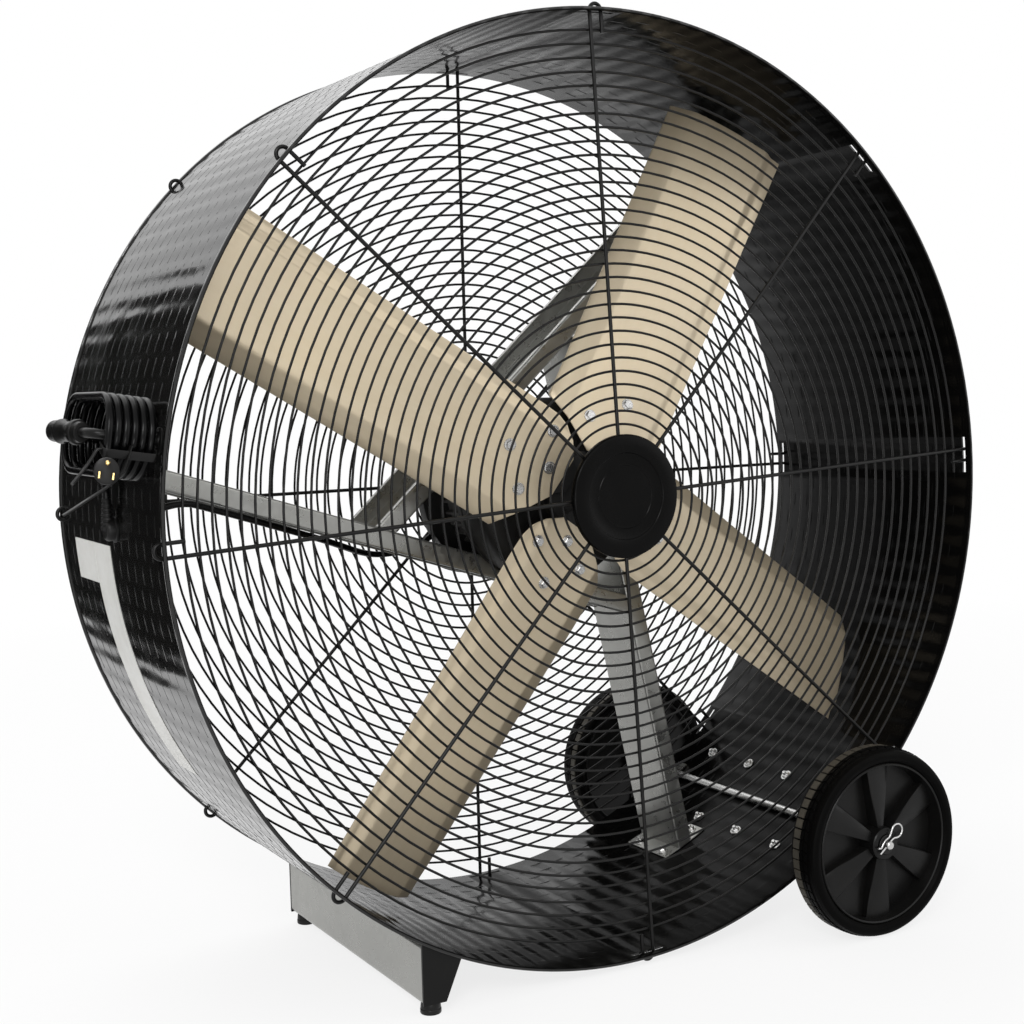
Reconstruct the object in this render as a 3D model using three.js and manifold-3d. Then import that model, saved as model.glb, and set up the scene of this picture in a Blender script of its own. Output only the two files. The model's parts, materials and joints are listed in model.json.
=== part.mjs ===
// A direct-drive drum fan on two wheels and a rubber-footed bracket, with its supply cord wound on the handle.
// Millimetres, +Z up, the front guard faces -Y. The origin is on the floor, under the middle of the fan.
// Inside the fan group the drum's axis is the Y axis, so a place is a polar angle (from +X towards +Z),
// a radius, a depth along Y and a tangential offset.
import * as THREE from 'three';
import { mergeVertices } from 'three/addons/utils/BufferGeometryUtils.js';
import Module from 'manifold-3d';

const wasm = await Module();
wasm.setup();

// Clearances
const seatGap = 0.3;
const runGap = 0.4;

// Drum
const drumRadius = 551;
const drumWall = 1.6;
const drumHalfDepth = 199;
const drumFacets = 60;
const beadRise = 2;
const beadLength = 6;
const floorClearance = 10.5;

// Guards: hooked spokes carry one wire wound as a spiral
const guardInset = 12;
const spokeCount = 8;
const spokeRadius = 2.25;
const spokeSides = 5;
const frontSpokeAngle = 3.2;
const rearSpokeAngle = 0;
const hookSpread = 15;
const tailLength = 25;
const slotPlay = 0.35;
const slotEnd = 13.75;
const hubPlateRadius = 62;
const hubPlateGauge = 3;
const wireRadius = 1.5;
const wireSides = 3;
const wirePitch = 15.4;
const wireSag = 9.5;
const wireRimGap = 14;
const discRadius = 72;
const discDepth = 8;
const discRecessRadius = 50;
const discRecess = 2.5;
const discBevel = 2;

// Blades
const bladeCount = 4;
const firstBladeAngle = 58.8;
const bladeGauge = 2;
const bladeTipGap = 19.4;
const bladeRoot = 44;
const bladeShoulder = 86;
const bladeBoltCircle = 92;
const bladeDepth = -112;
const bladeTipDepth = -49.3;
const pitchKnee = 140;
const rootPitch = 12;
const tipPitch = 20;
const rootFlap = 27;
const shoulderFlap = 89;
const tipFlap = 75;
const flapWidth = 25;
const flapRise = 0.54;
const lipWidth = 12;
const joggleWidth = 11.5;
const joggleFall = 0.25;
const bladeTrail = [[44, -22], [56, -42], [70, -54], [86, -60], [110, -62]];
const bladeTipTrail = -75;
const bladeMiddle = 330;
const bladeBolts = [[121, 0], [84, 39], [84, -39], [64.6, 0]];
const boltHeadRadius = 7.5;
const boltHeadHeight = 5;

// Hub spider and shaft
const armGauge = 4;
const hubDiscRadius = 50;
const hubDiscFront = -110;
const hubDiscBack = -99;
const bossRadius = 24;
const bossBack = -68;
const shaftRadius = 8;
const shaftFront = -140;
const shaftBack = -20;

// Motor
const bellRadius = 115;
const bellFront = -62;
const bellNose = 34;
const statorRadius = 90;
const finDepth = 6;
const finCount = 18;
const rearBellDepth = 30;
const ventCount = 8;
const ventDepth = 5;
const ventLength = 40;
const ventWidth = 12;

// Struts: three C-channels laid as a pinwheel round the motor
const strutCount = 3;
const firstStrutAngle = 42.3;
const strutFront = 10;
const strutDepth = 90;
const webOffset = 100;
const flangeDepth = 24;
const flangeLip = 8;
const strutSheet = 2;
const padWidth = 70;
const leadGap = 2;
const leadDrops = [49.4, 94.4, 149.4];
const leadRise = 30;
const leadStep = 12;
const leadNears = [135, 35];

// Wheels and axle
const wheelRadius = 118;
const wheelWidth = 44;
const wheelGap = 41.6;
const wheelFacets = 28;
const tyreSection = 32;
const rimBarrel = 8;
const rimWidth = 34;
const rimWeb = 8;
const windowCount = 7;
const windowInner = 30;
const windowOuter = 71;
const spokeWidth = 11;
const wheelHubRadius = 20;
const axleRadius = 5;
const axleEnd = 5.5;
const spacerRadius = 9;
const washerRadius = 12;
const washerGauge = 1.5;
const pinRadius = 1.25;
const clipInset = 34;
const clipWidth = 20;
const clipGauge = 1.5;
const clipReach = 22;

// Axle backing plate with its bolts
const plateGauge = 2;
const plateInset = 49;
const plateWidth = 150;
const plateBoltRadius = 3;
const plateHeadRadius = 5.5;
const plateHeadHeight = 4;
const plateBoltSpread = 109;
const plateBoltInset = 26.1;
const plateBoltShares = [-1, -1 / 3, 1 / 3, 1];

// Foot bracket
const footAngle = 242.6;
const topFlange = 51;
const bottomFlange = 26;
const bracketSheet = 2.5;
const bracketRise = 14;
const capGauge = 3;
const footRadius = 12;
const footInset = 11;
const footBoltRadius = 3;
const footBoltHead = 6;
const footBoltDepth = 8;

// Handle
const handleAngle = 171;
const handleCentre = -95;
const handleHalf = 81.7;
const handleReach = 70;
const barRadius = 5;
const barCorner = 20;
const rootRadius = 14;
const rootGauge = 2.5;
const gripRadius = 13;
const gripWaist = 10.5;
const gripHalf = 54.5;

// Cord, plug and tie
const cordRadius = 4;
const coilBend = 39;
const coilPitch = 8.5;
const coilTurns = 5.5;
const stepsPerTurn = 24;
const cordSides = 6;
const reliefAngle = 181.2;
const reliefDepth = -30;
const reliefRadius = 12;
const reliefHeight = 12;
const sleeveLength = 34;
const sleeveRoot = 7.5;
const sleeveTip = 5.2;
const spigotRadius = 5.5;
const plugRadius = 13;
const plugLength = 33;
const bladeProng = [1.5, 17, 6.3];
const prongSpacing = 12.7;
const groundPinRadius = 2.4;
const groundPinLength = 20;
const groundPinRise = 11.9;
const tieAngle = 20;
const tieGauge = 1;
const tieWidth = 9;
const tieSlack = 1.2;
const tailGauge = 1.6;

// Sizes that follow from those above
const rad = THREE.MathUtils.degToRad;
const axisHeight = drumRadius + floorClearance;
const drumInner = drumRadius - drumWall;
const bladeTip = drumInner - bladeTipGap;
const bladeLean = (bladeTipDepth - bladeDepth) / (bladeTip - bladeBoltCircle);
const trailingEdge = [...bladeTrail, [bladeTip, bladeTipTrail]];
const bladeStations = [...bladeTrail.map(([radius]) => radius), pitchKnee, bladeMiddle, bladeTip];
const guardPlane = drumHalfDepth - guardInset;
const clipDepth = drumHalfDepth - clipInset;
const plateHalfDepth = drumHalfDepth - plateInset;
const plateBoltDepths = plateBoltShares.map((share) => share * (plateHalfDepth - plateBoltInset));
const facetRatio = Math.cos(Math.PI / drumFacets);
const seatRadius = drumInner * facetRatio - seatGap;
const hookReach = drumRadius + hookSpread / 2 + spokeRadius;
const gripAxis = drumRadius + handleReach;
const gripEdge = gripAxis * Math.cos(rad(180 - handleAngle)) + gripRadius;
const strutBack = strutFront + strutDepth;
const bellBack = strutFront - seatGap;
const rearBellSeat = strutBack + seatGap;
const wheelCentre = drumHalfDepth + wheelGap + wheelWidth / 2;
const wheelHeight = wheelRadius - axisHeight;
const axleSeat = seatRadius - axleRadius;
const axleX = Math.sqrt(axleSeat ** 2 - wheelHeight ** 2);
const axleAngle = THREE.MathUtils.radToDeg(Math.atan2(wheelHeight, axleX));
const washerFace = wheelCentre + wheelWidth / 2 + seatGap;
const pinDepth = washerFace + washerGauge + seatGap + pinRadius;
const bracketHalf = drumHalfDepth - beadLength - capGauge - 2 * seatGap;
const coilStraight = handleHalf + barRadius + seatGap + cordRadius - coilBend;
const coilBase = drumRadius + seatGap + rootGauge + seatGap + cordRadius;

const looks = {
  paint: { color: 0x161615, roughness: 0.3, metalness: 0.1 },
  wire: { color: 0x181818, roughness: 0.42, metalness: 0.2 },
  blade: { color: 0xcfc7b8, roughness: 0.32, metalness: 0.8 },
  casting: { color: 0x1b1b1b, roughness: 0.55, metalness: 0.3 },
  stator: { color: 0x7d7d7b, roughness: 0.5, metalness: 0.6 },
  zinc: { color: 0xb4b5b3, roughness: 0.36, metalness: 0.85 },
  steel: { color: 0xa3a3a2, roughness: 0.3, metalness: 0.9 },
  tyre: { color: 0x1f1c1a, roughness: 0.8, metalness: 0 },
  plastic: { color: 0x202020, roughness: 0.5, metalness: 0 },
  rubber: { color: 0x171717, roughness: 0.75, metalness: 0 },
  cord: { color: 0x131313, roughness: 0.38, metalness: 0 },
  brass: { color: 0xc8a253, roughness: 0.3, metalness: 0.9 },
};

const object = new THREE.Group();
const fan = new THREE.Group();
fan.position.set((gripEdge - hookReach) / 2, 0, axisHeight);
object.add(fan);

// One closed skin with shared corners and its faces pointing out
function closed(source) {
  const bare = new THREE.BufferGeometry();
  bare.setAttribute('position', source.getAttribute('position').clone());
  bare.setIndex(source.index ? source.index.clone() : null);
  const merged = mergeVertices(bare);
  const corners = merged.index.array;
  const points = merged.getAttribute('position');
  const [a, b, c] = [new THREE.Vector3(), new THREE.Vector3(), new THREE.Vector3()];
  const kept = [];
  let volume = 0;
  for (let i = 0; i < corners.length; i += 3) {
    const [p, q, r] = [corners[i], corners[i + 1], corners[i + 2]];
    if (p !== q && q !== r && r !== p) {
      kept.push(p, q, r);
      a.fromBufferAttribute(points, p);
      b.fromBufferAttribute(points, q);
      c.fromBufferAttribute(points, r);
      volume += a.dot(b.cross(c));
    }
  }
  merged.setIndex(volume < 0 ? kept.reverse() : kept);
  return merged;
}

function toSolid(geometry) {
  const skin = closed(geometry);
  const vertProperties = new Float32Array(skin.getAttribute('position').array);
  const triVerts = new Uint32Array(skin.index.array);
  return new wasm.Manifold(new wasm.Mesh({ numProp: 3, vertProperties, triVerts }));
}

function fromSolid(solid) {
  const mesh = solid.getMesh();
  const geometry = new THREE.BufferGeometry();
  geometry.setAttribute('position', new THREE.BufferAttribute(new Float32Array(mesh.vertProperties), 3));
  geometry.setIndex(new THREE.BufferAttribute(new Uint32Array(mesh.triVerts), 1));
  return geometry;
}

function joined(geometries) {
  return geometries.map(toSolid).reduce((sum, solid) => sum.add(solid));
}

function piece(name, look, geometry, parent = fan) {
  const mesh = new THREE.Mesh(closed(geometry), new THREE.MeshStandardMaterial(looks[look]));
  mesh.name = name;
  parent.add(mesh);
  return mesh;
}

// A group turned so that its +X points along a polar angle and its +Z runs anticlockwise seen from the front
function turned(angle) {
  const group = new THREE.Group();
  group.rotation.y = -rad(angle);
  fan.add(group);
  return group;
}

function ring(radius, sides) {
  const start = Math.PI / sides;
  const points = [];
  for (let i = 0; i < sides; i += 1) {
    const angle = start + (2 * Math.PI * i) / sides;
    points.push(new THREE.Vector2(radius * Math.cos(angle), radius * Math.sin(angle)));
  }
  return new THREE.Shape(points);
}

// A curve that steps from one listed point to the next
class Stations extends THREE.Curve {
  constructor(points) {
    super();
    this.points = points;
  }

  getPoint(t) {
    const last = this.points.length - 1;
    const index = Math.min(Math.floor(t * last + 1e-6), last - 1);
    return this.points[index].clone().lerp(this.points[index + 1], t * last - index);
  }

  getPointAt(t) {
    return this.getPoint(t);
  }

  getTangentAt(t) {
    const last = this.points.length - 1;
    const index = Math.round(t * last);
    const here = this.points[index];
    const into = here.clone().sub(this.points[Math.max(index - 1, 0)]).normalize();
    const out = this.points[Math.min(index + 1, last)].clone().sub(here).normalize();
    return into.add(out).normalize();
  }
}

function sweep(points, radius, sides) {
  const extrudePath = new Stations(points);
  return new THREE.ExtrudeGeometry(ring(radius, sides), { steps: points.length - 1, extrudePath });
}

function revolve(profile, segments) {
  return new THREE.LatheGeometry(profile.map(([radius, y]) => new THREE.Vector2(radius, y)), segments);
}

function revolveRing(profile, segments) {
  return revolve([...profile, profile[0]], segments);
}

function tube(outer, inner, from, to, segments) {
  return revolveRing([[inner, from], [outer, from], [outer, to], [inner, to]], segments);
}

function rod(radius, from, to, segments) {
  return revolve([[0, from], [radius, from], [radius, to], [0, to]], segments);
}

// A shape drawn in X and Z, standing between two depths along Y
function prismAlongY(shape, from, to) {
  const geometry = new THREE.ExtrudeGeometry(shape, { depth: to - from, bevelEnabled: false });
  return geometry.rotateX(Math.PI / 2).translate(0, to, 0);
}

// A shape drawn in -Z and Y, standing between two places along X
function prismAlongX(shape, from, to) {
  const geometry = new THREE.ExtrudeGeometry(shape, { depth: to - from, bevelEnabled: false });
  return geometry.translate(0, 0, from).rotateY(Math.PI / 2);
}

function box(x, y, z, at) {
  return new THREE.BoxGeometry(x, y, z).translate(...at);
}

// Sheet of one gauge on the left of a line of corners
function strip(corners, gauge) {
  const line = corners.map(([x, y]) => new THREE.Vector2(x, y));
  const last = line.length - 1;
  const far = line.map((point, i) => {
    const into = line[Math.max(i, 1)].clone().sub(line[Math.max(i, 1) - 1]).normalize();
    const out = line[Math.min(i, last - 1) + 1].clone().sub(line[Math.min(i, last - 1)]).normalize();
    const normal = new THREE.Vector2(-into.y - out.y, into.x + out.x).normalize();
    return point.clone().addScaledVector(normal, gauge / (normal.y * into.x - normal.x * into.y));
  });
  return new THREE.Shape([...line, ...far.reverse()]);
}

// A closed slab between two grids of points with the same rows and columns
function slab(front, back) {
  const rows = front.length;
  const columns = front[0].length;
  const index = [];
  const at = (side, row, column) => side * rows * columns + row * columns + column;
  const face = (p, q, r, s) => index.push(p, q, r, p, r, s);
  for (let i = 0; i < rows - 1; i += 1) {
    for (let j = 0; j < columns - 1; j += 1) {
      face(at(0, i, j), at(0, i, j + 1), at(0, i + 1, j + 1), at(0, i + 1, j));
      face(at(1, i, j), at(1, i + 1, j), at(1, i + 1, j + 1), at(1, i, j + 1));
    }
    face(at(0, i, 0), at(0, i + 1, 0), at(1, i + 1, 0), at(1, i, 0));
    face(at(0, i, columns - 1), at(1, i, columns - 1), at(1, i + 1, columns - 1), at(0, i + 1, columns - 1));
  }
  for (let j = 0; j < columns - 1; j += 1) {
    face(at(0, 0, j), at(1, 0, j), at(1, 0, j + 1), at(0, 0, j + 1));
    face(at(0, rows - 1, j), at(0, rows - 1, j + 1), at(1, rows - 1, j + 1), at(1, rows - 1, j));
  }
  const geometry = new THREE.BufferGeometry();
  const points = [...front.flat(), ...back.flat()];
  geometry.setAttribute('position', new THREE.Float32BufferAttribute(points.flatMap((p) => p.toArray()), 3));
  geometry.setIndex(index);
  return geometry;
}

// Drum -----------------------------------------------------------------------------------------------

function slotCut(angle, facing) {
  const length = hookSpread + 2 * (spokeRadius + slotEnd);
  const cut = box(2 * hookSpread, 2 * (spokeRadius + slotPlay), length, [drumRadius, -guardPlane, -hookSpread / 2]);
  return cut.rotateY(-rad(angle)).rotateZ(facing);
}

function spokeAngles(first) {
  return Array.from({ length: spokeCount }, (_, i) => first + (360 * i) / spokeCount);
}

function radialHole(radius, angle, depth, offset) {
  const cut = rod(radius, drumRadius - 30, drumRadius + 30, 8).rotateZ(-Math.PI / 2);
  return cut.translate(0, depth, offset).rotateY(-rad(angle));
}

const plateBoltPlaces = [-1, 1].flatMap((side) => {
  const angle = axleAngle + (side * 90 * plateBoltSpread) / (Math.PI * drumRadius);
  return plateBoltDepths.map((depth) => [angle, depth]);
});

function boltHoles() {
  const radius = (plateBoltRadius + seatGap) / Math.cos(Math.PI / 8);
  return plateBoltPlaces.map(([angle, depth]) => radialHole(radius, angle, depth, 0));
}

function drumShell() {
  const half = drumHalfDepth;
  const shell = toSolid(revolveRing([
    [drumInner, -half],
    [drumRadius + beadRise, -half],
    [drumRadius + beadRise, beadLength - half],
    [drumRadius, beadLength - half],
    [drumRadius, half - beadLength],
    [drumRadius + beadRise, half - beadLength],
    [drumRadius + beadRise, half],
    [drumInner, half],
  ], drumFacets));
  const cuts = [
    ...spokeAngles(frontSpokeAngle).map((angle) => slotCut(angle, 0)),
    ...spokeAngles(rearSpokeAngle).map((angle) => slotCut(angle, Math.PI)),
    ...boltHoles(),
    radialHole((spigotRadius + seatGap) / Math.cos(Math.PI / 8), reliefAngle, reliefDepth, 0),
  ];
  return fromSolid(shell.subtract(joined(cuts)));
}

piece('drum', 'paint', drumShell());

// Guards ---------------------------------------------------------------------------------------------

function hookedSpoke(angle) {
  const points = [[hubPlateRadius - 2 * spokeRadius, 0], [drumRadius, 0]];
  for (let i = 1; i < 4; i += 1) {
    const turn = (Math.PI * i) / 4;
    points.push([drumRadius + (hookSpread / 2) * Math.sin(turn), (hookSpread / 2) * (Math.cos(turn) - 1)]);
  }
  points.push([drumRadius, -hookSpread], [drumRadius - tailLength, -hookSpread]);
  const path = points.map(([x, z]) => new THREE.Vector3(x, -guardPlane, z));
  return sweep(path, spokeRadius, spokeSides).rotateY(-rad(angle));
}

function guardSpokes(first) {
  const plate = rod(hubPlateRadius, -guardPlane - hubPlateGauge / 2, hubPlateGauge / 2 - guardPlane, 24);
  return fromSolid(joined([plate, ...spokeAngles(first).map(hookedSpoke)]));
}

// One wire from the rim to the middle, its chords short enough to stay within wireSag of the true spiral
function guardSpiral() {
  const spokeBack = spokeRadius * Math.cos(Math.PI / (2 * spokeSides));
  const wireFront = wireRadius * Math.cos(Math.PI / wireSides);
  const depth = spokeBack + wireFront + seatGap - guardPlane;
  const points = [];
  let radius = drumInner - wireRimGap - wireRadius;
  let angle = 0;
  while (radius > discRadius + wireRadius) {
    points.push(new THREE.Vector3(radius * Math.cos(angle), depth, radius * Math.sin(angle)));
    const step = Math.sqrt((8 * wireSag) / radius);
    angle += step;
    radius -= (wirePitch * step) / (2 * Math.PI);
  }
  return sweep(points, wireRadius, wireSides);
}

function hubDisc() {
  const back = -guardPlane - spokeRadius - seatGap;
  const front = back - discDepth;
  return revolve([
    [0, back],
    [discRadius, back],
    [discRadius, front + discBevel],
    [discRadius - discBevel, front],
    [discRecessRadius + discBevel, front],
    [discRecessRadius, front + discRecess],
    [0, front + discRecess],
  ], 24);
}

function guard(side, spokeAngle, facing) {
  const group = new THREE.Group();
  group.rotation.z = facing;
  fan.add(group);
  piece(`${side}_guard_spiral`, 'wire', guardSpiral(), group);
  piece(`${side}_guard_spokes`, 'wire', guardSpokes(spokeAngle), group);
  piece(`${side}_hub_disc`, 'paint', hubDisc(), group);
}

guard('front', frontSpokeAngle, 0);
guard('rear', rearSpokeAngle, Math.PI);

// Blades ---------------------------------------------------------------------------------------------

function along(table, value) {
  const after = Math.max(1, table.findIndex(([key]) => key >= value));
  const [[x0, y0], [x1, y1]] = [table[after - 1], table[after]];
  return y0 + ((y1 - y0) * (value - x0)) / (x1 - x0);
}

function straightFlap(radius) {
  return along([[bladeShoulder, shoulderFlap], [bladeTip, tipFlap]], radius);
}

function leadingEdge(radius) {
  const oblique = along([[bladeRoot, rootFlap], [bladeShoulder, shoulderFlap]], radius);
  return radius < bladeShoulder ? oblique : straightFlap(radius);
}

function straightTrail(radius) {
  const [knee, tip] = trailingEdge.slice(-2);
  return knee[1] + ((tip[1] - knee[1]) * (radius - knee[0])) / (tip[0] - knee[0]);
}

function bladePitch(radius) {
  const share = Math.max(0, (radius - pitchKnee) / (bladeTip - pitchKnee));
  return Math.tan(rad(rootPitch + (tipPitch - rootPitch) * share));
}

// Depth of the middle of the sheet at a radius and a tangential offset
function bladeSurface(radius, offset) {
  const pitch = bladePitch(radius);
  const flap = Math.max(0, offset - straightFlap(radius) + flapWidth) * flapRise;
  const past = straightTrail(radius) + lipWidth + joggleWidth - offset;
  const joggle = Math.min(Math.max(0, past), joggleWidth) * (joggleFall + pitch);
  return bladeDepth + (radius - bladeBoltCircle) * bladeLean + offset * pitch + flap + joggle;
}

function bladeColumns(radius) {
  const trail = along(trailingEdge, radius);
  const lead = leadingEdge(radius);
  const lip = Math.max(straightTrail(radius) + lipWidth, trail + 3);
  const plain = Math.max(straightTrail(radius) + lipWidth + joggleWidth, lip + 3);
  const fold = Math.min(straightFlap(radius) - flapWidth, lead - 4);
  return [trail, lip, plain, fold, lead];
}

function sheetGrid(stations, columns, surface) {
  return stations.map((station) => columns(station).map((offset) => {
    const radius = station === bladeTip ? Math.sqrt(bladeTip ** 2 - offset ** 2) : station;
    return new THREE.Vector3(radius, surface(radius, offset), offset);
  }));
}

function boltHead(radius, offset) {
  const head = rod(boltHeadRadius, -bladeGauge / 2 - boltHeadHeight, 0, 6);
  head.rotateX(-Math.atan(bladePitch(radius))).rotateZ(Math.atan(bladeLean));
  return head.translate(radius, bladeSurface(radius, offset), offset);
}

function bladeSheet() {
  const front = sheetGrid(bladeStations, bladeColumns, (r, t) => bladeSurface(r, t) - bladeGauge / 2);
  const back = sheetGrid(bladeStations, bladeColumns, (r, t) => bladeSurface(r, t) + bladeGauge / 2);
  return slab(front, back);
}

const blade = fromSolid(joined([bladeSheet(), ...bladeBolts.map(([radius, offset]) => boltHead(radius, offset))]));

for (let i = 0; i < bladeCount; i += 1) {
  piece(`blade_${i + 1}`, 'blade', blade, turned(firstBladeAngle + (360 * i) / bladeCount));
}

// Hub spider and shaft -------------------------------------------------------------------------------

// Each arm lies behind its blade and thickens towards the middle
const armStations = [[30, -14, 14, 9], [56, -30, 32, 3], [86, -34, 52, 0], [110, -28, 36, 0], [132, -12, 12, 0]];

function spiderArm(index) {
  const surface = (r, t) => bladeSurface(r, t) + bladeGauge / 2 + runGap;
  const grid = (depth) => armStations.map(([radius, low, high, root]) => [low, 0, high].map((offset) => (
    new THREE.Vector3(radius, surface(radius, offset) + depth * (armGauge + root), offset)
  )));
  return slab(grid(0), grid(1)).rotateY(-rad(firstBladeAngle + (360 * index) / bladeCount));
}

function hubSpider() {
  const arms = Array.from({ length: bladeCount }, (_, i) => spiderArm(i));
  const disc = rod(hubDiscRadius, hubDiscFront, hubDiscBack, 20);
  const boss = rod(bossRadius, hubDiscFront, bossBack, 20);
  const bore = rod(shaftRadius + runGap, hubDiscFront - 40, bossBack + 1, 24);
  return fromSolid(joined([disc, boss, ...arms]).subtract(toSolid(bore)));
}

piece('hub_spider', 'casting', hubSpider());
piece('motor_shaft', 'steel', rod(shaftRadius, shaftFront, shaftBack, 24));

// Motor ----------------------------------------------------------------------------------------------

function frontBell() {
  const bore = shaftRadius + runGap;
  return revolve([
    [0, shaftBack + seatGap],
    [bore, shaftBack + seatGap],
    [bore, bellFront],
    [bellNose, bellFront],
    [bellNose + 2, bellFront + 4],
    [bellRadius - 19, bellFront + 6],
    [bellRadius - 3, bellFront + 14],
    [bellRadius, bellFront + 24],
    [bellRadius, bellBack],
    [0, bellBack],
  ], 24);
}

function statorFins() {
  const points = [];
  for (let i = 0; i < finCount; i += 1) {
    for (const [share, radius] of [[0, 0], [0.45, 0], [0.55, finDepth], [0.9, finDepth]]) {
      const angle = (2 * Math.PI * (i + share)) / finCount;
      const reach = statorRadius - radius;
      points.push(new THREE.Vector2(reach * Math.cos(angle), reach * Math.sin(angle)));
    }
  }
  return prismAlongY(new THREE.Shape(points), bellBack + seatGap, rearBellSeat - 4 - seatGap);
}

function rearBell() {
  const back = rearBellSeat + rearBellDepth;
  const body = toSolid(revolve([
    [0, rearBellSeat - 4],
    [statorRadius, rearBellSeat - 4],
    [statorRadius, rearBellSeat],
    [bellRadius, rearBellSeat],
    [bellRadius, back - 12],
    [bellRadius - 15, back],
    [0, back],
  ], 24));
  const vents = Array.from({ length: ventCount }, (_, i) => (
    box(ventLength, 2 * ventDepth, ventWidth, [bellRadius / 2 + 8, back, 0]).rotateY((2 * Math.PI * i) / ventCount)
  ));
  return fromSolid(body.subtract(joined(vents)));
}

piece('motor_front_bell', 'casting', frontBell());
piece('motor_stator', 'stator', statorFins());
piece('motor_rear_bell', 'casting', rearBell());

// Struts ---------------------------------------------------------------------------------------------

// The room inside the drum, turned into the frame of a piece that stands at a polar angle
function wallCore(angle, inset) {
  const radius = (drumInner * facetRatio - inset) / facetRatio;
  return rod(radius, -drumHalfDepth, drumHalfDepth, drumFacets).rotateY(rad(angle));
}

function channel() {
  const [web, edge] = [webOffset, webOffset + flangeDepth];
  const line = [
    [-edge, strutFront + flangeLip],
    [-edge, strutFront],
    [-web, strutFront],
    [-web, strutBack],
    [-edge, strutBack],
    [-edge, strutBack - flangeLip],
  ];
  return prismAlongX(strip(line, strutSheet), -2 * webOffset, drumRadius);
}

function wallPad(angle) {
  const shell = toSolid(wallCore(angle, seatGap)).subtract(toSolid(wallCore(angle, seatGap + strutSheet)));
  const middle = webOffset + flangeDepth / 2;
  return shell.intersect(toSolid(box(drumRadius, strutDepth, padWidth, [drumRadius, strutFront + strutDepth / 2, middle])));
}

function strut(angle) {
  const reach = 6 * webOffset;
  const beyond = box(reach, reach, reach, [0, 0, webOffset - seatGap + reach / 2]).rotateY(-rad(360 / strutCount));
  const bar = toSolid(channel()).intersect(toSolid(wallCore(angle, seatGap))).subtract(toSolid(beyond));
  return fromSolid(bar.add(wallPad(angle)));
}

['upper', 'left', 'lower'].forEach((place, i) => {
  const angle = firstStrutAngle + (360 * i) / strutCount;
  piece(`strut_${place}`, 'zinc', strut(angle), turned(angle));
});

// Motor lead: from the wall, along the left strut and round behind it to the rear bell
function motorLead() {
  const strutAngle = firstStrutAngle + 360 / strutCount;
  const entry = rad(reliefAngle - strutAngle);
  const onWall = (radius) => new THREE.Vector3(radius * Math.cos(entry), reliefDepth, radius * Math.sin(entry));
  const edge = webOffset + flangeDepth + cordRadius + leadGap;
  const behind = rearBellSeat + rearBellDepth / 2;
  const onBell = (radius) => new THREE.Vector3(radius * Math.cos(rad(50)), behind, radius * Math.sin(rad(50)));
  const start = drumInner - 3 - seatGap;
  const bend = new THREE.CatmullRomCurve3([
    onWall(start - 2 * cordRadius),
    new THREE.Vector3(drumInner - leadDrops[0], reliefDepth, edge + leadRise),
    new THREE.Vector3(drumInner - leadDrops[1], reliefDepth + leadStep, edge + cordRadius),
    new THREE.Vector3(drumInner - leadDrops[2], strutFront - leadStep / 2, edge),
    new THREE.Vector3(bellRadius + leadNears[0], strutFront + (5 * strutDepth) / 9, edge),
    new THREE.Vector3(bellRadius + leadNears[1], behind - cordRadius, edge),
    onBell(bellRadius + 24),
    onBell(bellRadius + seatGap + 2 * cordRadius),
  ], false, 'centripetal');
  const points = [onWall(start), ...bend.getSpacedPoints(16), onBell(bellRadius + seatGap)];
  piece('motor_lead', 'cord', sweep(points, cordRadius, 8), turned(strutAngle));
}

motorLead();

// Wheels and axle ------------------------------------------------------------------------------------

const axleGroup = new THREE.Group();
axleGroup.position.set(axleX, 0, wheelHeight);
fan.add(axleGroup);

function axle() {
  const half = pinDepth + axleEnd;
  const pinHoles = [-pinDepth, pinDepth].map((depth) => (
    rod(pinRadius + seatGap, -2 * axleRadius, 2 * axleRadius, 8).rotateX(Math.PI / 2).translate(0, depth, 0)
  ));
  return fromSolid(toSolid(rod(axleRadius, -half, half, 16)).subtract(joined(pinHoles)));
}

piece('axle', 'steel', axle(), axleGroup);

function tyre() {
  const half = wheelWidth / 2;
  const bead = wheelRadius - tyreSection;
  const right = [
    [bead, rimWidth / 2],
    [bead + 12, half],
    [wheelRadius - 5, half - 3],
    [wheelRadius, half - 13],
  ];
  const left = right.map(([radius, y]) => [radius, -y]).reverse();
  return revolveRing([...right, ...left], wheelFacets);
}

function rimWindow(index) {
  const middle = (2 * Math.PI * index) / windowCount;
  const arc = (radius) => {
    const half = Math.PI / windowCount - Math.asin(spokeWidth / 2 / radius);
    return [-1, 0, 1].map((share) => middle + share * half)
      .map((angle) => new THREE.Vector2(radius * Math.cos(angle), radius * Math.sin(angle)));
  };
  return new THREE.Path([...arc(windowInner), ...arc(windowOuter).reverse()]);
}

function rim() {
  const outer = wheelRadius - tyreSection - seatGap;
  const web = new THREE.Shape(ring(outer - rimBarrel / 2, wheelFacets).getPoints());
  for (let i = 0; i < windowCount; i += 1) {
    web.holes.push(rimWindow(i));
  }
  const barrel = tube(outer, outer - rimBarrel, -rimWidth / 2, rimWidth / 2, wheelFacets);
  const hub = rod(wheelHubRadius, -wheelWidth / 2, wheelWidth / 2, 16);
  const bore = rod(axleRadius + runGap, -wheelWidth, wheelWidth, 16);
  return fromSolid(joined([barrel, prismAlongY(web, -rimWeb / 2, rimWeb / 2), hub]).subtract(toSolid(bore)));
}

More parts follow.
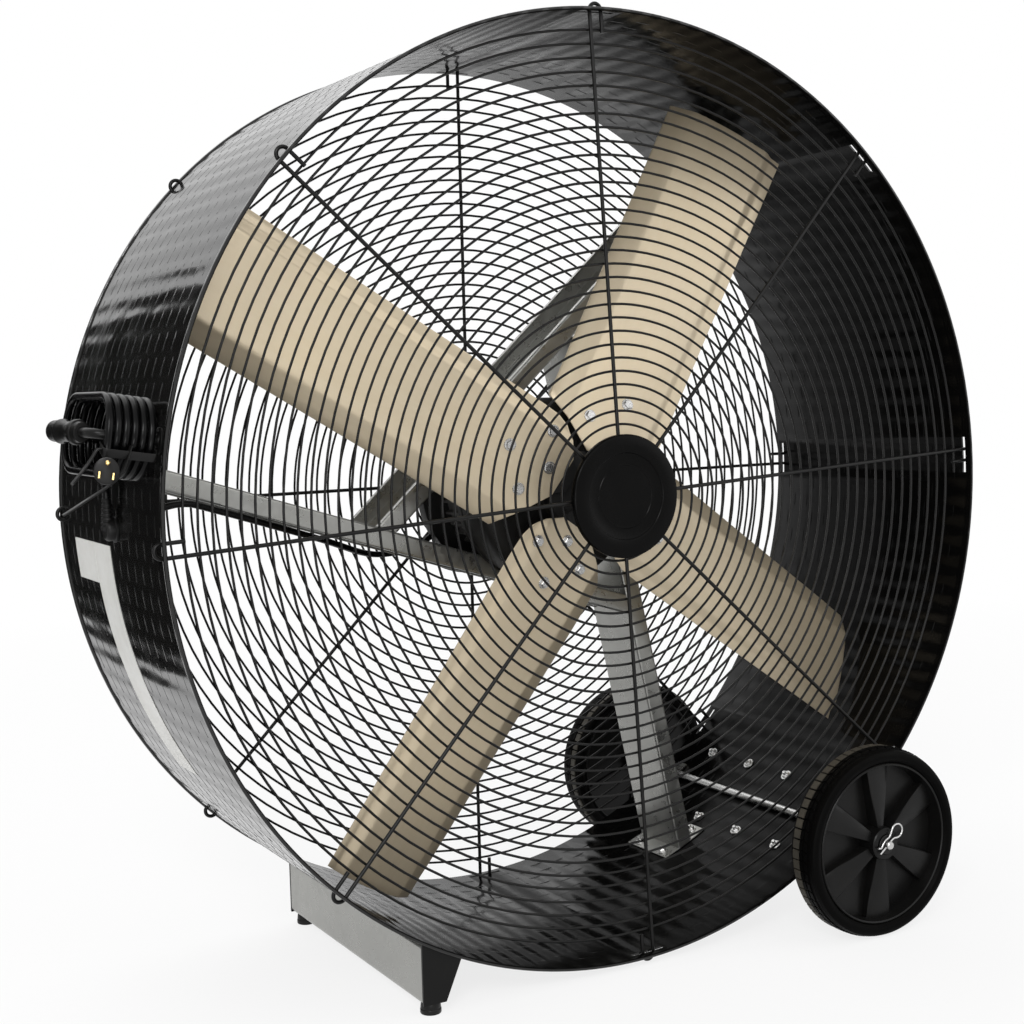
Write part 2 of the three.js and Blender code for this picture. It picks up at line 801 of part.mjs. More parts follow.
// A hair pin: its straight leg goes through the axle and its other leg springs round the outside
function hairPin() {
  const away = axleRadius + pinRadius + seatGap;
  const top = 2 * axleRadius + 2;
  const points = [[0, -top - 3], [0, top]];
  for (let i = 1; i < 5; i += 1) {
    const turn = (Math.PI * i) / 5;
    points.push([(away / 2) * (1 - Math.cos(turn)), top + (away / 2) * Math.sin(turn)]);
  }
  points.push([away, top], [away, axleRadius], [away + 1, 0], [away, -axleRadius], [away + 3, -top]);
  return sweep(points.map(([x, z]) => new THREE.Vector3(x, 0, z)), pinRadius, 5);
}

function wheelSide(side, sign) {
  const group = new THREE.Group();
  group.rotation.z = sign > 0 ? 0 : Math.PI;
  axleGroup.add(group);
  piece(`${side}_wheel_tyre`, 'tyre', tyre().translate(0, wheelCentre, 0), group);
  piece(`${side}_wheel_rim`, 'plastic', rim().translate(0, wheelCentre, 0), group);
  const hubFace = wheelCentre - wheelWidth / 2 - seatGap;
  const bore = axleRadius + runGap;
  piece(`${side}_axle_spacer`, 'steel', tube(spacerRadius, bore, drumHalfDepth + 2 * seatGap, hubFace, 16), group);
  piece(`${side}_washer`, 'steel', tube(washerRadius, bore, washerFace, washerFace + washerGauge, 16), group);
  piece(`${side}_hair_pin`, 'steel', hairPin().translate(0, pinDepth, 0), group);
}

wheelSide('front', -1);
wheelSide('rear', 1);

// Straps that hold the axle to the inside of the drum
function axleClip(depth) {
  const flat = Math.sqrt(seatRadius ** 2 - clipReach ** 2);
  const hug = axleRadius + seatGap;
  const line = [[flat, clipReach], [flat, hug], [axleSeat, hug]];
  for (let i = 1; i < 6; i += 1) {
    const turn = (Math.PI * i) / 6;
    line.push([axleSeat - hug * Math.sin(turn), hug * Math.cos(turn)]);
  }
  line.push([axleSeat, -hug], [flat, -hug], [flat, -clipReach]);
  const sheet = strip(line.reverse(), clipGauge);
  return prismAlongY(sheet, depth - clipWidth / 2, depth + clipWidth / 2);
}

const axleFrame = turned(axleAngle);
piece('front_axle_clip', 'zinc', axleClip(-clipDepth), axleFrame);
piece('rear_axle_clip', 'zinc', axleClip(clipDepth), axleFrame);

function backingPlate() {
  const inner = (drumRadius + seatGap) / facetRatio;
  const shell = toSolid(tube(inner + plateGauge, inner, -plateHalfDepth, plateHalfDepth, drumFacets));
  const span = box(drumRadius, drumHalfDepth * 2, plateWidth, [drumRadius, 0, 0]).rotateY(-rad(axleAngle));
  return fromSolid(shell.intersect(toSolid(span)).subtract(joined(boltHoles())));
}

piece('axle_backing_plate', 'paint', backingPlate());

function plateBolt() {
  const headSeat = (drumRadius + seatGap) / facetRatio + plateGauge + seatGap;
  return revolve([
    [0, seatRadius - plateHeadHeight],
    [plateHeadRadius, seatRadius - plateHeadHeight],
    [plateHeadRadius, seatRadius],
    [plateBoltRadius, seatRadius],
    [plateBoltRadius, headSeat],
    [plateHeadRadius, headSeat],
    [plateHeadRadius, headSeat + plateHeadHeight],
    [0, headSeat + plateHeadHeight],
  ], 6).rotateZ(-Math.PI / 2);
}

plateBoltPlaces.forEach(([angle, depth], i) => {
  piece(`plate_bolt_${i + 1}`, 'steel', plateBolt(), turned(angle)).position.y = depth;
});

// Foot bracket ---------------------------------------------------------------------------------------

const bracketFloor = bracketRise - axisHeight;

function bracketLine() {
  const out = new THREE.Vector2(Math.cos(rad(footAngle)), Math.sin(rad(footAngle)));
  const middle = out.clone().multiplyScalar(drumRadius + seatGap + bracketSheet);
  const across = new THREE.Vector2(-out.y, out.x).multiplyScalar(topFlange / 2);
  const upper = middle.clone().sub(across);
  const lower = middle.clone().add(across);
  const inside = bracketFloor + bracketSheet;
  return [[upper.x + bottomFlange, inside], [upper.x, inside], upper.toArray(), lower.toArray()];
}

const bracketCorners = bracketLine();
const footX = bracketCorners[1][0] + bottomFlange / 2;
const footY = bracketHalf - footInset;
const footBoltHole = (footBoltRadius + seatGap) / Math.cos(Math.PI / 12);

function footBracket() {
  const sheet = prismAlongY(strip(bracketCorners, bracketSheet), -bracketHalf, bracketHalf);
  const holes = [-footY, footY].map((y) => (
    rod(footBoltHole, -10, 10, 12).rotateX(Math.PI / 2).translate(footX, y, bracketFloor)
  ));
  return fromSolid(toSolid(sheet).subtract(joined(holes)));
}

function footCap(from) {
  const far = strip(bracketCorners, bracketSheet).getPoints().slice(bracketCorners.length, 2 * bracketCorners.length);
  return prismAlongY(new THREE.Shape(far), from, from + capGauge);
}

function rubberFoot(y) {
  const top = bracketFloor - seatGap;
  const boreEnd = bracketFloor + bracketSheet - footBoltDepth - seatGap;
  const geometry = revolve([
    [0, -axisHeight],
    [footRadius - 1, -axisHeight],
    [footRadius, 1 - axisHeight],
    [footRadius - 1.5, top],
    [footBoltHole, top],
    [footBoltHole, boreEnd],
    [0, boreEnd],
  ], 14);
  return geometry.rotateX(Math.PI / 2).translate(footX, y, 0);
}

function footBolt(y) {
  const seat = bracketFloor + bracketSheet + seatGap;
  const geometry = revolve([
    [0, seat - footBoltDepth],
    [footBoltRadius, seat - footBoltDepth],
    [footBoltRadius, seat],
    [footBoltHead, seat],
    [footBoltHead, seat + 4],
    [0, seat + 4],
  ], 6);
  return geometry.rotateX(Math.PI / 2).translate(footX, y, 0);
}

piece('foot_bracket', 'zinc', footBracket());
piece('front_foot_cap', 'plastic', footCap(-bracketHalf - seatGap - capGauge));
piece('rear_foot_cap', 'plastic', footCap(bracketHalf + seatGap));
piece('front_rubber_foot', 'rubber', rubberFoot(-footY));
piece('rear_rubber_foot', 'rubber', rubberFoot(footY));
piece('front_foot_bolt', 'steel', footBolt(-footY));
piece('rear_foot_bolt', 'steel', footBolt(footY));

// Handle ---------------------------------------------------------------------------------------------

const handleFrame = turned(handleAngle);

function handleBar() {
  const root = drumRadius + seatGap;
  const points = [];
  for (const side of [-1, 1]) {
    const half = [[root + rootGauge / 2, side * handleHalf], [gripAxis - barCorner, side * handleHalf]];
    for (let i = 1; i <= 5; i += 1) {
      const turn = (Math.PI * i) / 10;
      const reach = gripAxis - barCorner * (1 - Math.sin(turn));
      half.push([reach, side * (handleHalf - barCorner * (1 - Math.cos(turn)))]);
    }
    points.push(...(side < 0 ? half : half.reverse()));
  }
  const path = points.map(([x, y]) => new THREE.Vector3(x, handleCentre + y, 0));
  const flanges = [-1, 1].map((side) => (
    rod(rootRadius, root, root + rootGauge, 12).rotateZ(-Math.PI / 2).translate(0, handleCentre + side * handleHalf, 0)
  ));
  return fromSolid(joined([sweep(path, barRadius, 8), ...flanges]));
}

function handleGrip() {
  const bore = (barRadius + seatGap) / Math.cos(Math.PI / 16);
  const profile = [
    [bore, -gripHalf],
    [gripRadius, -gripHalf],
    [gripRadius, -0.45 * gripHalf],
    [gripWaist, -0.2 * gripHalf],
    [gripWaist, 0.2 * gripHalf],
    [gripRadius, 0.45 * gripHalf],
    [gripRadius, gripHalf],
    [bore, gripHalf],
  ];
  return revolveRing(profile, 16).translate(gripAxis, handleCentre, 0);
}

piece('handle_bar', 'steel', handleBar(), handleFrame);
piece('handle_grip', 'plastic', handleGrip(), handleFrame);

// Cord -----------------------------------------------------------------------------------------------

const sleeveAxis = drumRadius + seatGap + sleeveRoot;

function cordRelief() {
  const base = drumRadius + seatGap;
  const boss = revolve([
    [0, drumInner - 3],
    [spigotRadius, drumInner - 3],
    [spigotRadius, base],
    [reliefRadius, base],
    [reliefRadius, base + reliefHeight - 3],
    [reliefRadius - 3, base + reliefHeight],
    [0, base + reliefHeight],
  ], 16).rotateZ(-Math.PI / 2);
  const sleeve = revolve([[0, 0], [sleeveTip, 0], [sleeveRoot, sleeveLength], [0, sleeveLength]], 12);
  sleeve.rotateX(Math.PI / 2).translate(sleeveAxis, 0, -sleeveLength);
  return fromSolid(joined([boss, sleeve])).translate(0, reliefDepth, 0);
}

piece('cord_relief', 'rubber', cordRelief(), turned(reliefAngle));

// From here the handle's frame is used: X outwards from the drum, Y along the drum, Z down the drum's side
function cordLead() {
  const lean = rad(reliefAngle - handleAngle);
  const up = new THREE.Vector3(Math.sin(lean), 0, -Math.cos(lean));
  const middle = new THREE.Vector3(sleeveAxis * Math.cos(lean), reliefDepth, sleeveAxis * Math.sin(lean));
  const from = middle.clone().addScaledVector(up, sleeveLength + seatGap);
  const to = new THREE.Vector3(coilBase, handleCentre + coilStraight + coilBend, 2 * cordRadius + seatGap);
  const bend = new THREE.CubicBezierCurve3(
    from.clone().addScaledVector(up, 2 * cordRadius),
    from.clone().addScaledVector(up, 5 * cordRadius),
    to.clone().add(new THREE.Vector3(0, 0, 5 * cordRadius)),
    to.clone().add(new THREE.Vector3(0, 0, 2 * cordRadius)),
  );
  piece('cord_lead', 'cord', sweep([from, ...bend.getSpacedPoints(8), to], cordRadius, 8), handleFrame);
}

// Place on the racetrack after a share of one turn, from the rear end upwards
function trackPoint(share, rise) {
  const quarter = stepsPerTurn / 6;
  const step = share * stepsPerTurn;
  const bend = (turn, side) => [side * (coilStraight + coilBend * Math.cos(turn)), -side * coilBend * Math.sin(turn)];
  let place;
  if (step <= quarter) {
    place = bend((Math.PI * step) / (2 * quarter), 1);
  } else if (step < 2 * quarter) {
    place = [coilStraight * (1 - (2 * (step - quarter)) / quarter), -coilBend];
  } else if (step <= 4 * quarter) {
    place = bend((Math.PI * (step - 3 * quarter)) / (2 * quarter), -1);
  } else if (step < 5 * quarter) {
    place = [coilStraight * ((2 * (step - 4 * quarter)) / quarter - 1), coilBend];
  } else {
    place = bend((Math.PI * (step - 6 * quarter)) / (2 * quarter), 1);
  }
  return new THREE.Vector3(coilBase + rise, handleCentre + place[0], place[1]);
}

const plugAxis = new THREE.Vector3(0.27, -1, 0).normalize();

function coilPoints() {
  const points = [new THREE.Vector3(coilBase, handleCentre + coilStraight + coilBend, 2 * cordRadius)];
  const steps = coilTurns * stepsPerTurn;
  for (let i = 0; i <= steps; i += 1) {
    points.push(trackPoint((i % stepsPerTurn) / stepsPerTurn, (coilPitch * i) / stepsPerTurn));
  }
  const last = points[points.length - 1];
  const end = last.clone().add(new THREE.Vector3(coilPitch / 2, -19, 35));
  const bend = new THREE.CubicBezierCurve3(
    last,
    last.clone().add(new THREE.Vector3(0, 0, 21)),
    end.clone().addScaledVector(plugAxis, -13),
    end,
  );
  points.push(...bend.getPoints(6).slice(1), end.clone().addScaledVector(plugAxis, 2 * cordRadius));
  return points;
}

// Least distance between two stretches of the cord that aren't next to each other, less its thickness
function leastCoilGap(points) {
  let least = Infinity;
  const near = new THREE.Vector3();
  points.forEach((point, i) => {
    for (let j = 0; j < points.length - 1; j += 1) {
      if (Math.abs(j - i) > 6) {
        new THREE.Line3(points[j], points[j + 1]).closestPointToPoint(point, true, near);
        least = Math.min(least, near.distanceTo(point));
      }
    }
  });
  return least - 2 * cordRadius;
}

const coil = coilPoints();
console.log(`least gap in the cord coil: ${leastCoilGap(coil).toFixed(2)} mm`);
cordLead();
piece('cord_coil', 'cord', sweep(coil, cordRadius, cordSides), handleFrame);

// The plug hangs at the end of the coil and faces the front
const plugFrame = new THREE.Group();
const plugSide = plugAxis.clone().cross(new THREE.Vector3(0, 0, 1));
plugFrame.quaternion.setFromRotationMatrix(
  new THREE.Matrix4().makeBasis(plugSide, plugAxis, new THREE.Vector3(0, 0, 1)),
);
plugFrame.position.copy(coil[coil.length - 1]).addScaledVector(plugAxis, seatGap);
handleFrame.add(plugFrame);

function plugBody() {
  return revolve([
    [0, 0],
    [sleeveTip, 0],
    [sleeveTip + 1, 0.3 * plugLength],
    [plugRadius - 2, 0.42 * plugLength],
    [plugRadius, 0.52 * plugLength],
    [plugRadius, plugLength - 1.5],
    [plugRadius - 1.5, plugLength],
    [0, plugLength],
  ], 16);
}

function prongs() {
  const [thick, long, wide] = bladeProng;
  const face = plugLength + seatGap;
  const low = groundPinRise / 3;
  const blade = (side) => box(thick, long, wide, [(side * prongSpacing) / 2, face + long / 2, low]);
  piece('plug_blade_left', 'brass', blade(-1), plugFrame);
  piece('plug_blade_right', 'brass', blade(1), plugFrame);
  const pin = revolve([
    [0, face],
    [groundPinRadius, face],
    [groundPinRadius, face + groundPinLength - 2],
    [groundPinRadius / 2, face + groundPinLength],
    [0, face + groundPinLength],
  ], 12);
  piece('plug_ground_pin', 'brass', pin.translate(0, 0, low - groundPinRise), plugFrame);
}

piece('plug', 'rubber', plugBody(), plugFrame);
prongs();

// A flat tie round all the turns at the front bend, with two loose tails
function tieRing() {
  const [near, far] = [coilBend - cordRadius - tieSlack, coilBend + 2 * cordRadius + 3.5 * tieSlack];
  const low = coilBase + coilPitch / 2 - cordRadius - seatGap;
  const high = coilBase + coilPitch * (coilTurns + 0.15) + cordRadius + seatGap;
  const band = new THREE.Shape([
    new THREE.Vector2(low - tieGauge, near - tieGauge),
    new THREE.Vector2(high + tieGauge, near - tieGauge),
    new THREE.Vector2(high + tieGauge, far + tieGauge),
    new THREE.Vector2(low - tieGauge, far + tieGauge),
  ]);
  band.holes.push(new THREE.Path([
    new THREE.Vector2(low, near),
    new THREE.Vector2(high, near),
    new THREE.Vector2(high, far),
    new THREE.Vector2(low, far),
  ]));
  const lean = rad(tieAngle);
  const basis = new THREE.Matrix4().makeBasis(
    new THREE.Vector3(1, 0, 0),
    new THREE.Vector3(0, -Math.cos(lean), Math.sin(lean)),
    new THREE.Vector3(0, -Math.sin(lean), -Math.cos(lean)),
  );
  const geometry = new THREE.ExtrudeGeometry(band, { depth: tieWidth, bevelEnabled: false });
  geometry.translate(0, 0, -tieWidth / 2).applyMatrix4(basis);
  return geometry.translate(0, handleCentre - coilStraight, 0);
}

function tieTail(corners, forward) {
  const line = corners.map(([x, z]) => new THREE.Vector2(coilBase + x, z));
  const [before, tip] = line.slice(-2);
  const heading = tip.clone().sub(before).angle();
  const edge = strip(line.map((point) => point.toArray()), tieWidth / 2).getPoints();
  const other = strip(line.map((point) => point.toArray()), -tieWidth / 2).getPoints();
  const left = edge.slice(line.length, 2 * line.length).reverse();
  const right = other.slice(line.length, 2 * line.length);
  const nose = [0.3, 0, -0.3].map((share) => {
    const turn = heading + share * Math.PI;
    return tip.clone().add(new THREE.Vector2(Math.cos(turn), Math.sin(turn)).multiplyScalar(tieWidth / 2));
  });
  const depth = handleCentre - coilStraight - coilBend - forward;
  return prismAlongY(new THREE.Shape([...left, ...nose, ...right]), depth - tailGauge / 2, depth + tailGauge / 2);
}

function cordTie() {
  const upperTail = tieTail([[52.4, 14], [57, 14.5], [64, 30], [76, 49]], 0.55 * cordRadius);
  const lowerTail = tieTail([[26, 8], [32, 36], [42, 48], [82, 80]], 2.1 * cordRadius);
  return fromSolid(joined([tieRing(), upperTail, lowerTail]));
}

piece('cord_tie', 'rubber', cordTie(), handleFrame);

export default object;
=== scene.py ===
import json
from functools import partial
from math import asin, atan, cos, degrees, pi, radians, sin, sqrt, tan

import bmesh
import bpy
from mathutils import Matrix, Vector

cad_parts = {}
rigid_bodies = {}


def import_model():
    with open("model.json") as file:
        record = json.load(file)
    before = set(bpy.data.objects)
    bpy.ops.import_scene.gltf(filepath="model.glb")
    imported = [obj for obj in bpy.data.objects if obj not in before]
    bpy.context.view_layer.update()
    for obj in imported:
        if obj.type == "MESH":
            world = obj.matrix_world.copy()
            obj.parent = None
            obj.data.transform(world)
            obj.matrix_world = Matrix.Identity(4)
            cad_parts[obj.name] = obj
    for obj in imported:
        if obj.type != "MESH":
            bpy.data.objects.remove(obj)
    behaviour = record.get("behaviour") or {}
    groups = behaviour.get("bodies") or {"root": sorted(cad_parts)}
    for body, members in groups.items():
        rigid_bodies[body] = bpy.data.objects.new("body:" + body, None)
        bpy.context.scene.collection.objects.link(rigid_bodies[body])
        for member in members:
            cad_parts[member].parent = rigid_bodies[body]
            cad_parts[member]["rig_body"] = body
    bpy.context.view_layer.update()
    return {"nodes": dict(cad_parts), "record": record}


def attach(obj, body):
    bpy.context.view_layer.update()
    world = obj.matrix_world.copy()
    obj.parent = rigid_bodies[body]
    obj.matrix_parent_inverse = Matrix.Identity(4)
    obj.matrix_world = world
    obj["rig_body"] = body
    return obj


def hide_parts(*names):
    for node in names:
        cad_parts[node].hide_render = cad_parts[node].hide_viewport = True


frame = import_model()
scene = bpy.context.scene
scene.view_settings.view_transform = "Standard"
slotOf = {part["node"]: part["material_slot"] for part in frame["record"]["subparts"]}

# The fan's own frame: millimetres, the drum's axis along Y, and an angle runs from +X towards +Z
fan = {
    "x": 32.8022,
    "height": 561.5,
    "radius": 551,
    "inner": 549.4,
    "half": 199,
    "guard": 187,  # the depth of the guards' spokes
    "gap": 0.3,  # between pieces that stand on each other
}
cameraView = {
    "place": (-0.99836, -1.72444, 0.69760),
    "right": (0.86582, -0.49968, -0.02642),
    "up": (0.06367, 0.05764, 0.99633),
    "lens": 55.98,
    "sensor": 36,
    "farEnd": 60,
}
creaseAngle = 34  # edges sharper than this stay sharp


def addCamera(view):
    data = bpy.data.cameras.new("photoCamera")
    data.lens, data.sensor_width, data.clip_end = view["lens"], view["sensor"], view["farEnd"]
    camera = bpy.data.objects.new("photoCamera", data)
    scene.collection.objects.link(camera)
    right, up = Vector(view["right"]).normalized(), Vector(view["up"]).normalized()
    turn = Matrix((right, up, right.cross(up))).transposed().to_4x4()
    camera.matrix_world = Matrix.Translation(view["place"]) @ turn
    scene.camera = camera


addCamera(cameraView)
print("camera placed")

# Frames: every part is drawn in millimetres round the Y axis and then moved to its place
toMetres = Matrix.Scale(0.001, 4)


def shift(x=0.0, y=0.0, z=0.0):
    return Matrix.Translation((x, y, z))


def turned(axis, angle):
    return Matrix.Rotation(radians(angle), 4, axis)


def spin(angle):
    return turned("Y", -angle)


def facing(side):
    return turned("Z", 180 if side == "rear" else 0)


def fanMatrix(angle=0.0):
    return toMetres @ shift(fan["x"], 0, fan["height"]) @ spin(angle)


# Mesh making: a part is a list of points and a list of faces
def joined(*parts):
    points, faces = [], []
    for some, their in parts:
        base = len(points)
        points += [Vector(p) for p in some]
        faces += [tuple(i + base for i in face) for face in their]
    return points, faces


def moved(part, matrix):
    return [matrix @ Vector(p) for p in part[0]], part[1]


def revolved(profile, segments=64, closed=False, flat=1.0):
    # a line of (radius, depth) turned round the Y axis; flat squeezes it along X
    points, faces, rows = [], [], []
    for radius, depth in profile:
        base = len(points)
        if radius < 1e-6:
            points.append(Vector((0, depth, 0)))
            rows.append([base])
            continue
        for i in range(segments):
            a = 2 * pi * i / segments
            points.append(Vector((flat * radius * cos(a), depth, radius * sin(a))))
        rows.append(list(range(base, base + segments)))
    for low, high in list(zip(rows, rows[1:])) + ([(rows[-1], rows[0])] if closed else []):
        for i in range(segments):
            j = (i + 1) % segments
            if len(low) == 1 and len(high) > 1:
                faces.append((low[0], high[j], high[i]))
            elif len(high) == 1 and len(low) > 1:
                faces.append((low[i], low[j], high[0]))
            elif len(low) > 1:
                faces.append((low[i], low[j], high[j], high[i]))
    return points, faces


def roundShape(radius, sides):
    step = 2 * pi / sides
    return [(radius * cos(step * k), radius * sin(step * k)) for k in range(sides)]


def flatShape(width, gauge, soft=3):
    # a rounded bar: width along the first axis, gauge along the second
    reach, half, shape = width / 2 - gauge / 2, gauge / 2, []
    for side in (1, -1):
        for k in range(soft + 1):
            a = pi * (k / soft - 0.5)
            shape.append((side * (reach + half * cos(a)), side * half * sin(a)))
    return shape


def directionAt(path, i):
    last = len(path) - 1
    into = path[i] - path[i - 1] if i else path[1] - path[0]
    out = path[i + 1] - path[i] if i < last else into
    return (into.normalized() + out.normalized()).normalized()


def swept(path, shape, side=None, sizes=None):
    # a section along a path; side holds its first axis, sizes scales it at each point
    path = [Vector(p) for p in path]
    last, count = len(path) - 1, len(shape)
    points, faces, across = [], [], None
    for i, at in enumerate(path):
        along = directionAt(path, i)
        guide = Vector(side) if side else (across or along.orthogonal())
        across = (guide - along * guide.dot(along)).normalized()
        other = along.cross(across)
        size = sizes[i] if sizes else 1
        points += [at + (across * a + other * b) * size for a, b in shape]
    for i in range(last):
        for k in range(count):
            j, a, b = (k + 1) % count, i * count, (i + 1) * count
            faces.append((a + k, a + j, b + j, b + k))
    faces += [tuple(reversed(range(count))), tuple(range(last * count, (last + 1) * count))]
    return points, faces


def rounded(corners, bend, steps=5):
    # a line of corners with each inner corner turned by a smooth bend
    line = [Vector(c) for c in corners]
    path, most = [line[0]], 0.49
    for before, at, after in zip(line, line[1:], line[2:]):
        reach = min(bend, (before - at).length * most, (after - at).length * most)
        start = at + (before - at).normalized() * reach
        end = at + (after - at).normalized() * reach
        for t in (k / steps for k in range(steps + 1)):
            path.append(start * (1 - t) ** 2 + at * 2 * t * (1 - t) + end * t * t)
    return path + [line[-1]]


def bezier(a, b, c, d, steps):
    return [a * (1 - t) ** 3 + b * 3 * t * (1 - t) ** 2 + c * 3 * t * t * (1 - t) + d * t ** 3
            for t in (k / steps for k in range(steps + 1))]


def smoothLine(marks, steps):
    # a smooth line through the marks
    ends = [marks[0] * 2 - marks[1], *marks, marks[-1] * 2 - marks[-2]]
    path = []
    for a, b, c, d in zip(ends, ends[1:], ends[2:], ends[3:]):
        for t in (k / steps for k in range(steps)):
            square = (2 * a - 5 * b + 4 * c - d) * t * t
            path.append(0.5 * ((2 * b) + (c - a) * t + square + (3 * b - a - 3 * c + d) * t ** 3))
    return path + [marks[-1]]


def evenly(path, spacing):
    # the same line with its points the same distance apart
    lengths = [0.0]
    for a, b in zip(path, path[1:]):
        lengths.append(lengths[-1] + (b - a).length)
    count, out, k = max(2, round(lengths[-1] / spacing)), [], 0
    for i in range(count + 1):
        want = lengths[-1] * i / count
        while k < len(path) - 2 and lengths[k + 1] < want:
            k += 1
        span = max(lengths[k + 1] - lengths[k], 1e-9)
        out.append(path[k].lerp(path[k + 1], min(1, (want - lengths[k]) / span)))
    return out


def foldedSheet(corners, gauge, bend, ends, steps=5):
    # sheet on the left of a line of corners; ends gives each point's two ends across the sheet
    line = rounded(corners, bend, steps)
    left = []
    for i, at in enumerate(line):
        along = directionAt(line, i)
        left.append(at + Vector((-along.y, along.x)) * gauge)
    rows = [[ends(*a), ends(*b)] for a, b in zip(line, left)]
    points = [p for near, far in rows for p in (near[0], near[1], far[0], far[1])]
    faces = []
    for i in range(len(line) - 1):
        a, b = 4 * i, 4 * i + 4
        faces += [(a, a + 1, b + 1, b), (a + 2, b + 2, b + 3, a + 3)]
        faces += [(a, b, b + 2, a + 2), (a + 1, a + 3, b + 3, b + 1)]
    z = 4 * (len(line) - 1)
    return points, faces + [(0, 2, 3, 1), (z, z + 1, z + 3, z + 2)]


def slab(front, back):
    # a closed sheet between two grids of points
    rows, columns = len(front), len(front[0])
    points = [p for row in front for p in row] + [p for row in back for p in row]
    faces = []

    def at(side, i, j):
        return side * rows * columns + i * columns + j

    for i in range(rows - 1):
        for j in range(columns - 1):
            for side in (0, 1):
                near = at(side, i, j), at(side, i, j + 1)
                faces.append((*near, at(side, i + 1, j + 1), at(side, i + 1, j)))
        for j in (0, columns - 1):
            faces.append((at(0, i, j), at(0, i + 1, j), at(1, i + 1, j), at(1, i, j)))
    for j in range(columns - 1):
        for i in (0, rows - 1):
            faces.append((at(0, i, j), at(1, i, j), at(1, i, j + 1), at(0, i, j + 1)))
    return points, faces


def wallPatch(inner, outer, low, high, front, back, steps=16):
    # a curved sheet on the drum's wall between two angles and two depths
    angles = [radians(low + (high - low) * k / steps) for k in range(steps + 1)]

    def grid(radius):
        return [[Vector((radius * cos(a), depth, radius * sin(a))) for a in angles]
                for depth in (front, back)]

    return slab(grid(inner), grid(outer))


def block(x, y, z, at=(0, 0, 0)):
    ends = (-1, 1)
    points = [Vector((at[0] + x * a / 2, at[1] + y * b / 2, at[2] + z * c / 2))
              for a in ends for b in ends for c in ends]
    faces = [(0, 1, 3, 2), (4, 6, 7, 5), (0, 4, 5, 1), (2, 3, 7, 6), (0, 2, 6, 4), (1, 5, 7, 3)]
    return points, faces


def linked(name, mesh):
    piece = bpy.data.objects.new(name, mesh)
    scene.collection.objects.link(piece)
    return piece


def shape(name, part, matrix=None, crease=creaseAngle):
    mesh = bpy.data.meshes.new(name)
    mesh.from_pydata([tuple(p) for p in part[0]], [], part[1])
    work = bmesh.new()
    work.from_mesh(mesh)
    bmesh.ops.remove_doubles(work, verts=work.verts, dist=1e-4)
    bmesh.ops.recalc_face_normals(work, faces=work.faces)
    work.to_mesh(mesh)
    work.free()
    if matrix:
        mesh.transform(matrix)
    mesh.polygons.foreach_set("use_smooth", [True] * len(mesh.polygons))
    mesh.set_sharp_from_angle(angle=radians(crease))
    mesh.update()
    return linked(name, mesh)


def soften(piece, width, segments=2, angle=40):
    edge = piece.modifiers.new("edges", "BEVEL")
    edge.width, edge.segments = width, segments
    edge.limit_method, edge.angle_limit = "ANGLE", radians(angle)
    return piece


def plainMesh(piece):
    depsgraph = bpy.context.evaluated_depsgraph_get()
    evaluated = piece.evaluated_get(depsgraph)
    mesh = bpy.data.meshes.new_from_object(evaluated, depsgraph=depsgraph)
    piece.modifiers.clear()
    piece.data = mesh
    return piece


def carved(piece, cutter):
    cut = piece.modifiers.new("cut", "BOOLEAN")
    cut.object, cut.solver = cutter, "EXACT"
    plainMesh(piece)
    bpy.data.objects.remove(cutter)
    piece.data.set_sharp_from_angle(angle=radians(creaseAngle))
    return piece


def wear(piece, paint, *nodes, body=None, slot=None):
    # the piece's finish, the nodes that it stands for and the body that it rides on
    piece.data.materials.clear()
    piece.data.materials.append(materials[paint])
    if nodes:
        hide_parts(*nodes)
        body, slot = frame["nodes"][nodes[0]]["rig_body"], slotOf[nodes[0]]
    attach(piece, body)
    return piece


def paintNode(node, paint):
    # a CAD piece that stays as it is gets a finish
    frame["nodes"][node].material_slots[0].material = materials[paint]
    return frame["nodes"][node]


# Geometry Nodes: copies round the axis, copies in rows on the wall, and a spiral wire
def newTree(name, inputs):
    tree = bpy.data.node_groups.new(name, "GeometryNodeTree")
    tree.interface.new_socket("Geometry", in_out="OUTPUT", socket_type="NodeSocketGeometry")
    for label, kind in {**inputs, "Material": "Material"}.items():
        tree.interface.new_socket(label, in_out="INPUT", socket_type="NodeSocket" + kind)
    return tree, tree.nodes.new("NodeGroupInput").outputs


def wired(tree, kind, links=None, **settings):
    # a node with its settings, and its inputs as links or as values
    node = tree.nodes.new(kind)
    for key, value in settings.items():
        setattr(node, key, value)
    for key, value in (links or {}).items():
        if isinstance(value, bpy.types.NodeSocket):
            tree.links.new(value, node.inputs[key])
        else:
            node.inputs[key].default_value = value
    return node


def calc(tree, operation, a, b=0.0, c=0.0):
    return wired(tree, "ShaderNodeMath", {0: a, 1: b, 2: c}, operation=operation).outputs[0]


def onCircle(tree, angle, radius, depth):
    x = calc(tree, "MULTIPLY", calc(tree, "COSINE", angle), radius)
    z = calc(tree, "MULTIPLY", calc(tree, "SINE", angle), radius)
    return wired(tree, "ShaderNodeCombineXYZ", {"X": x, "Y": depth, "Z": z}).outputs[0]


def finishTree(tree, given, geometry):
    real = wired(tree, "GeometryNodeRealizeInstances", {0: geometry}).outputs[0]
    links = {"Geometry": real, "Material": given["Material"]}
    painted = wired(tree, "GeometryNodeSetMaterial", links).outputs[0]
    wired(tree, "NodeGroupOutput", {0: painted})
    return tree


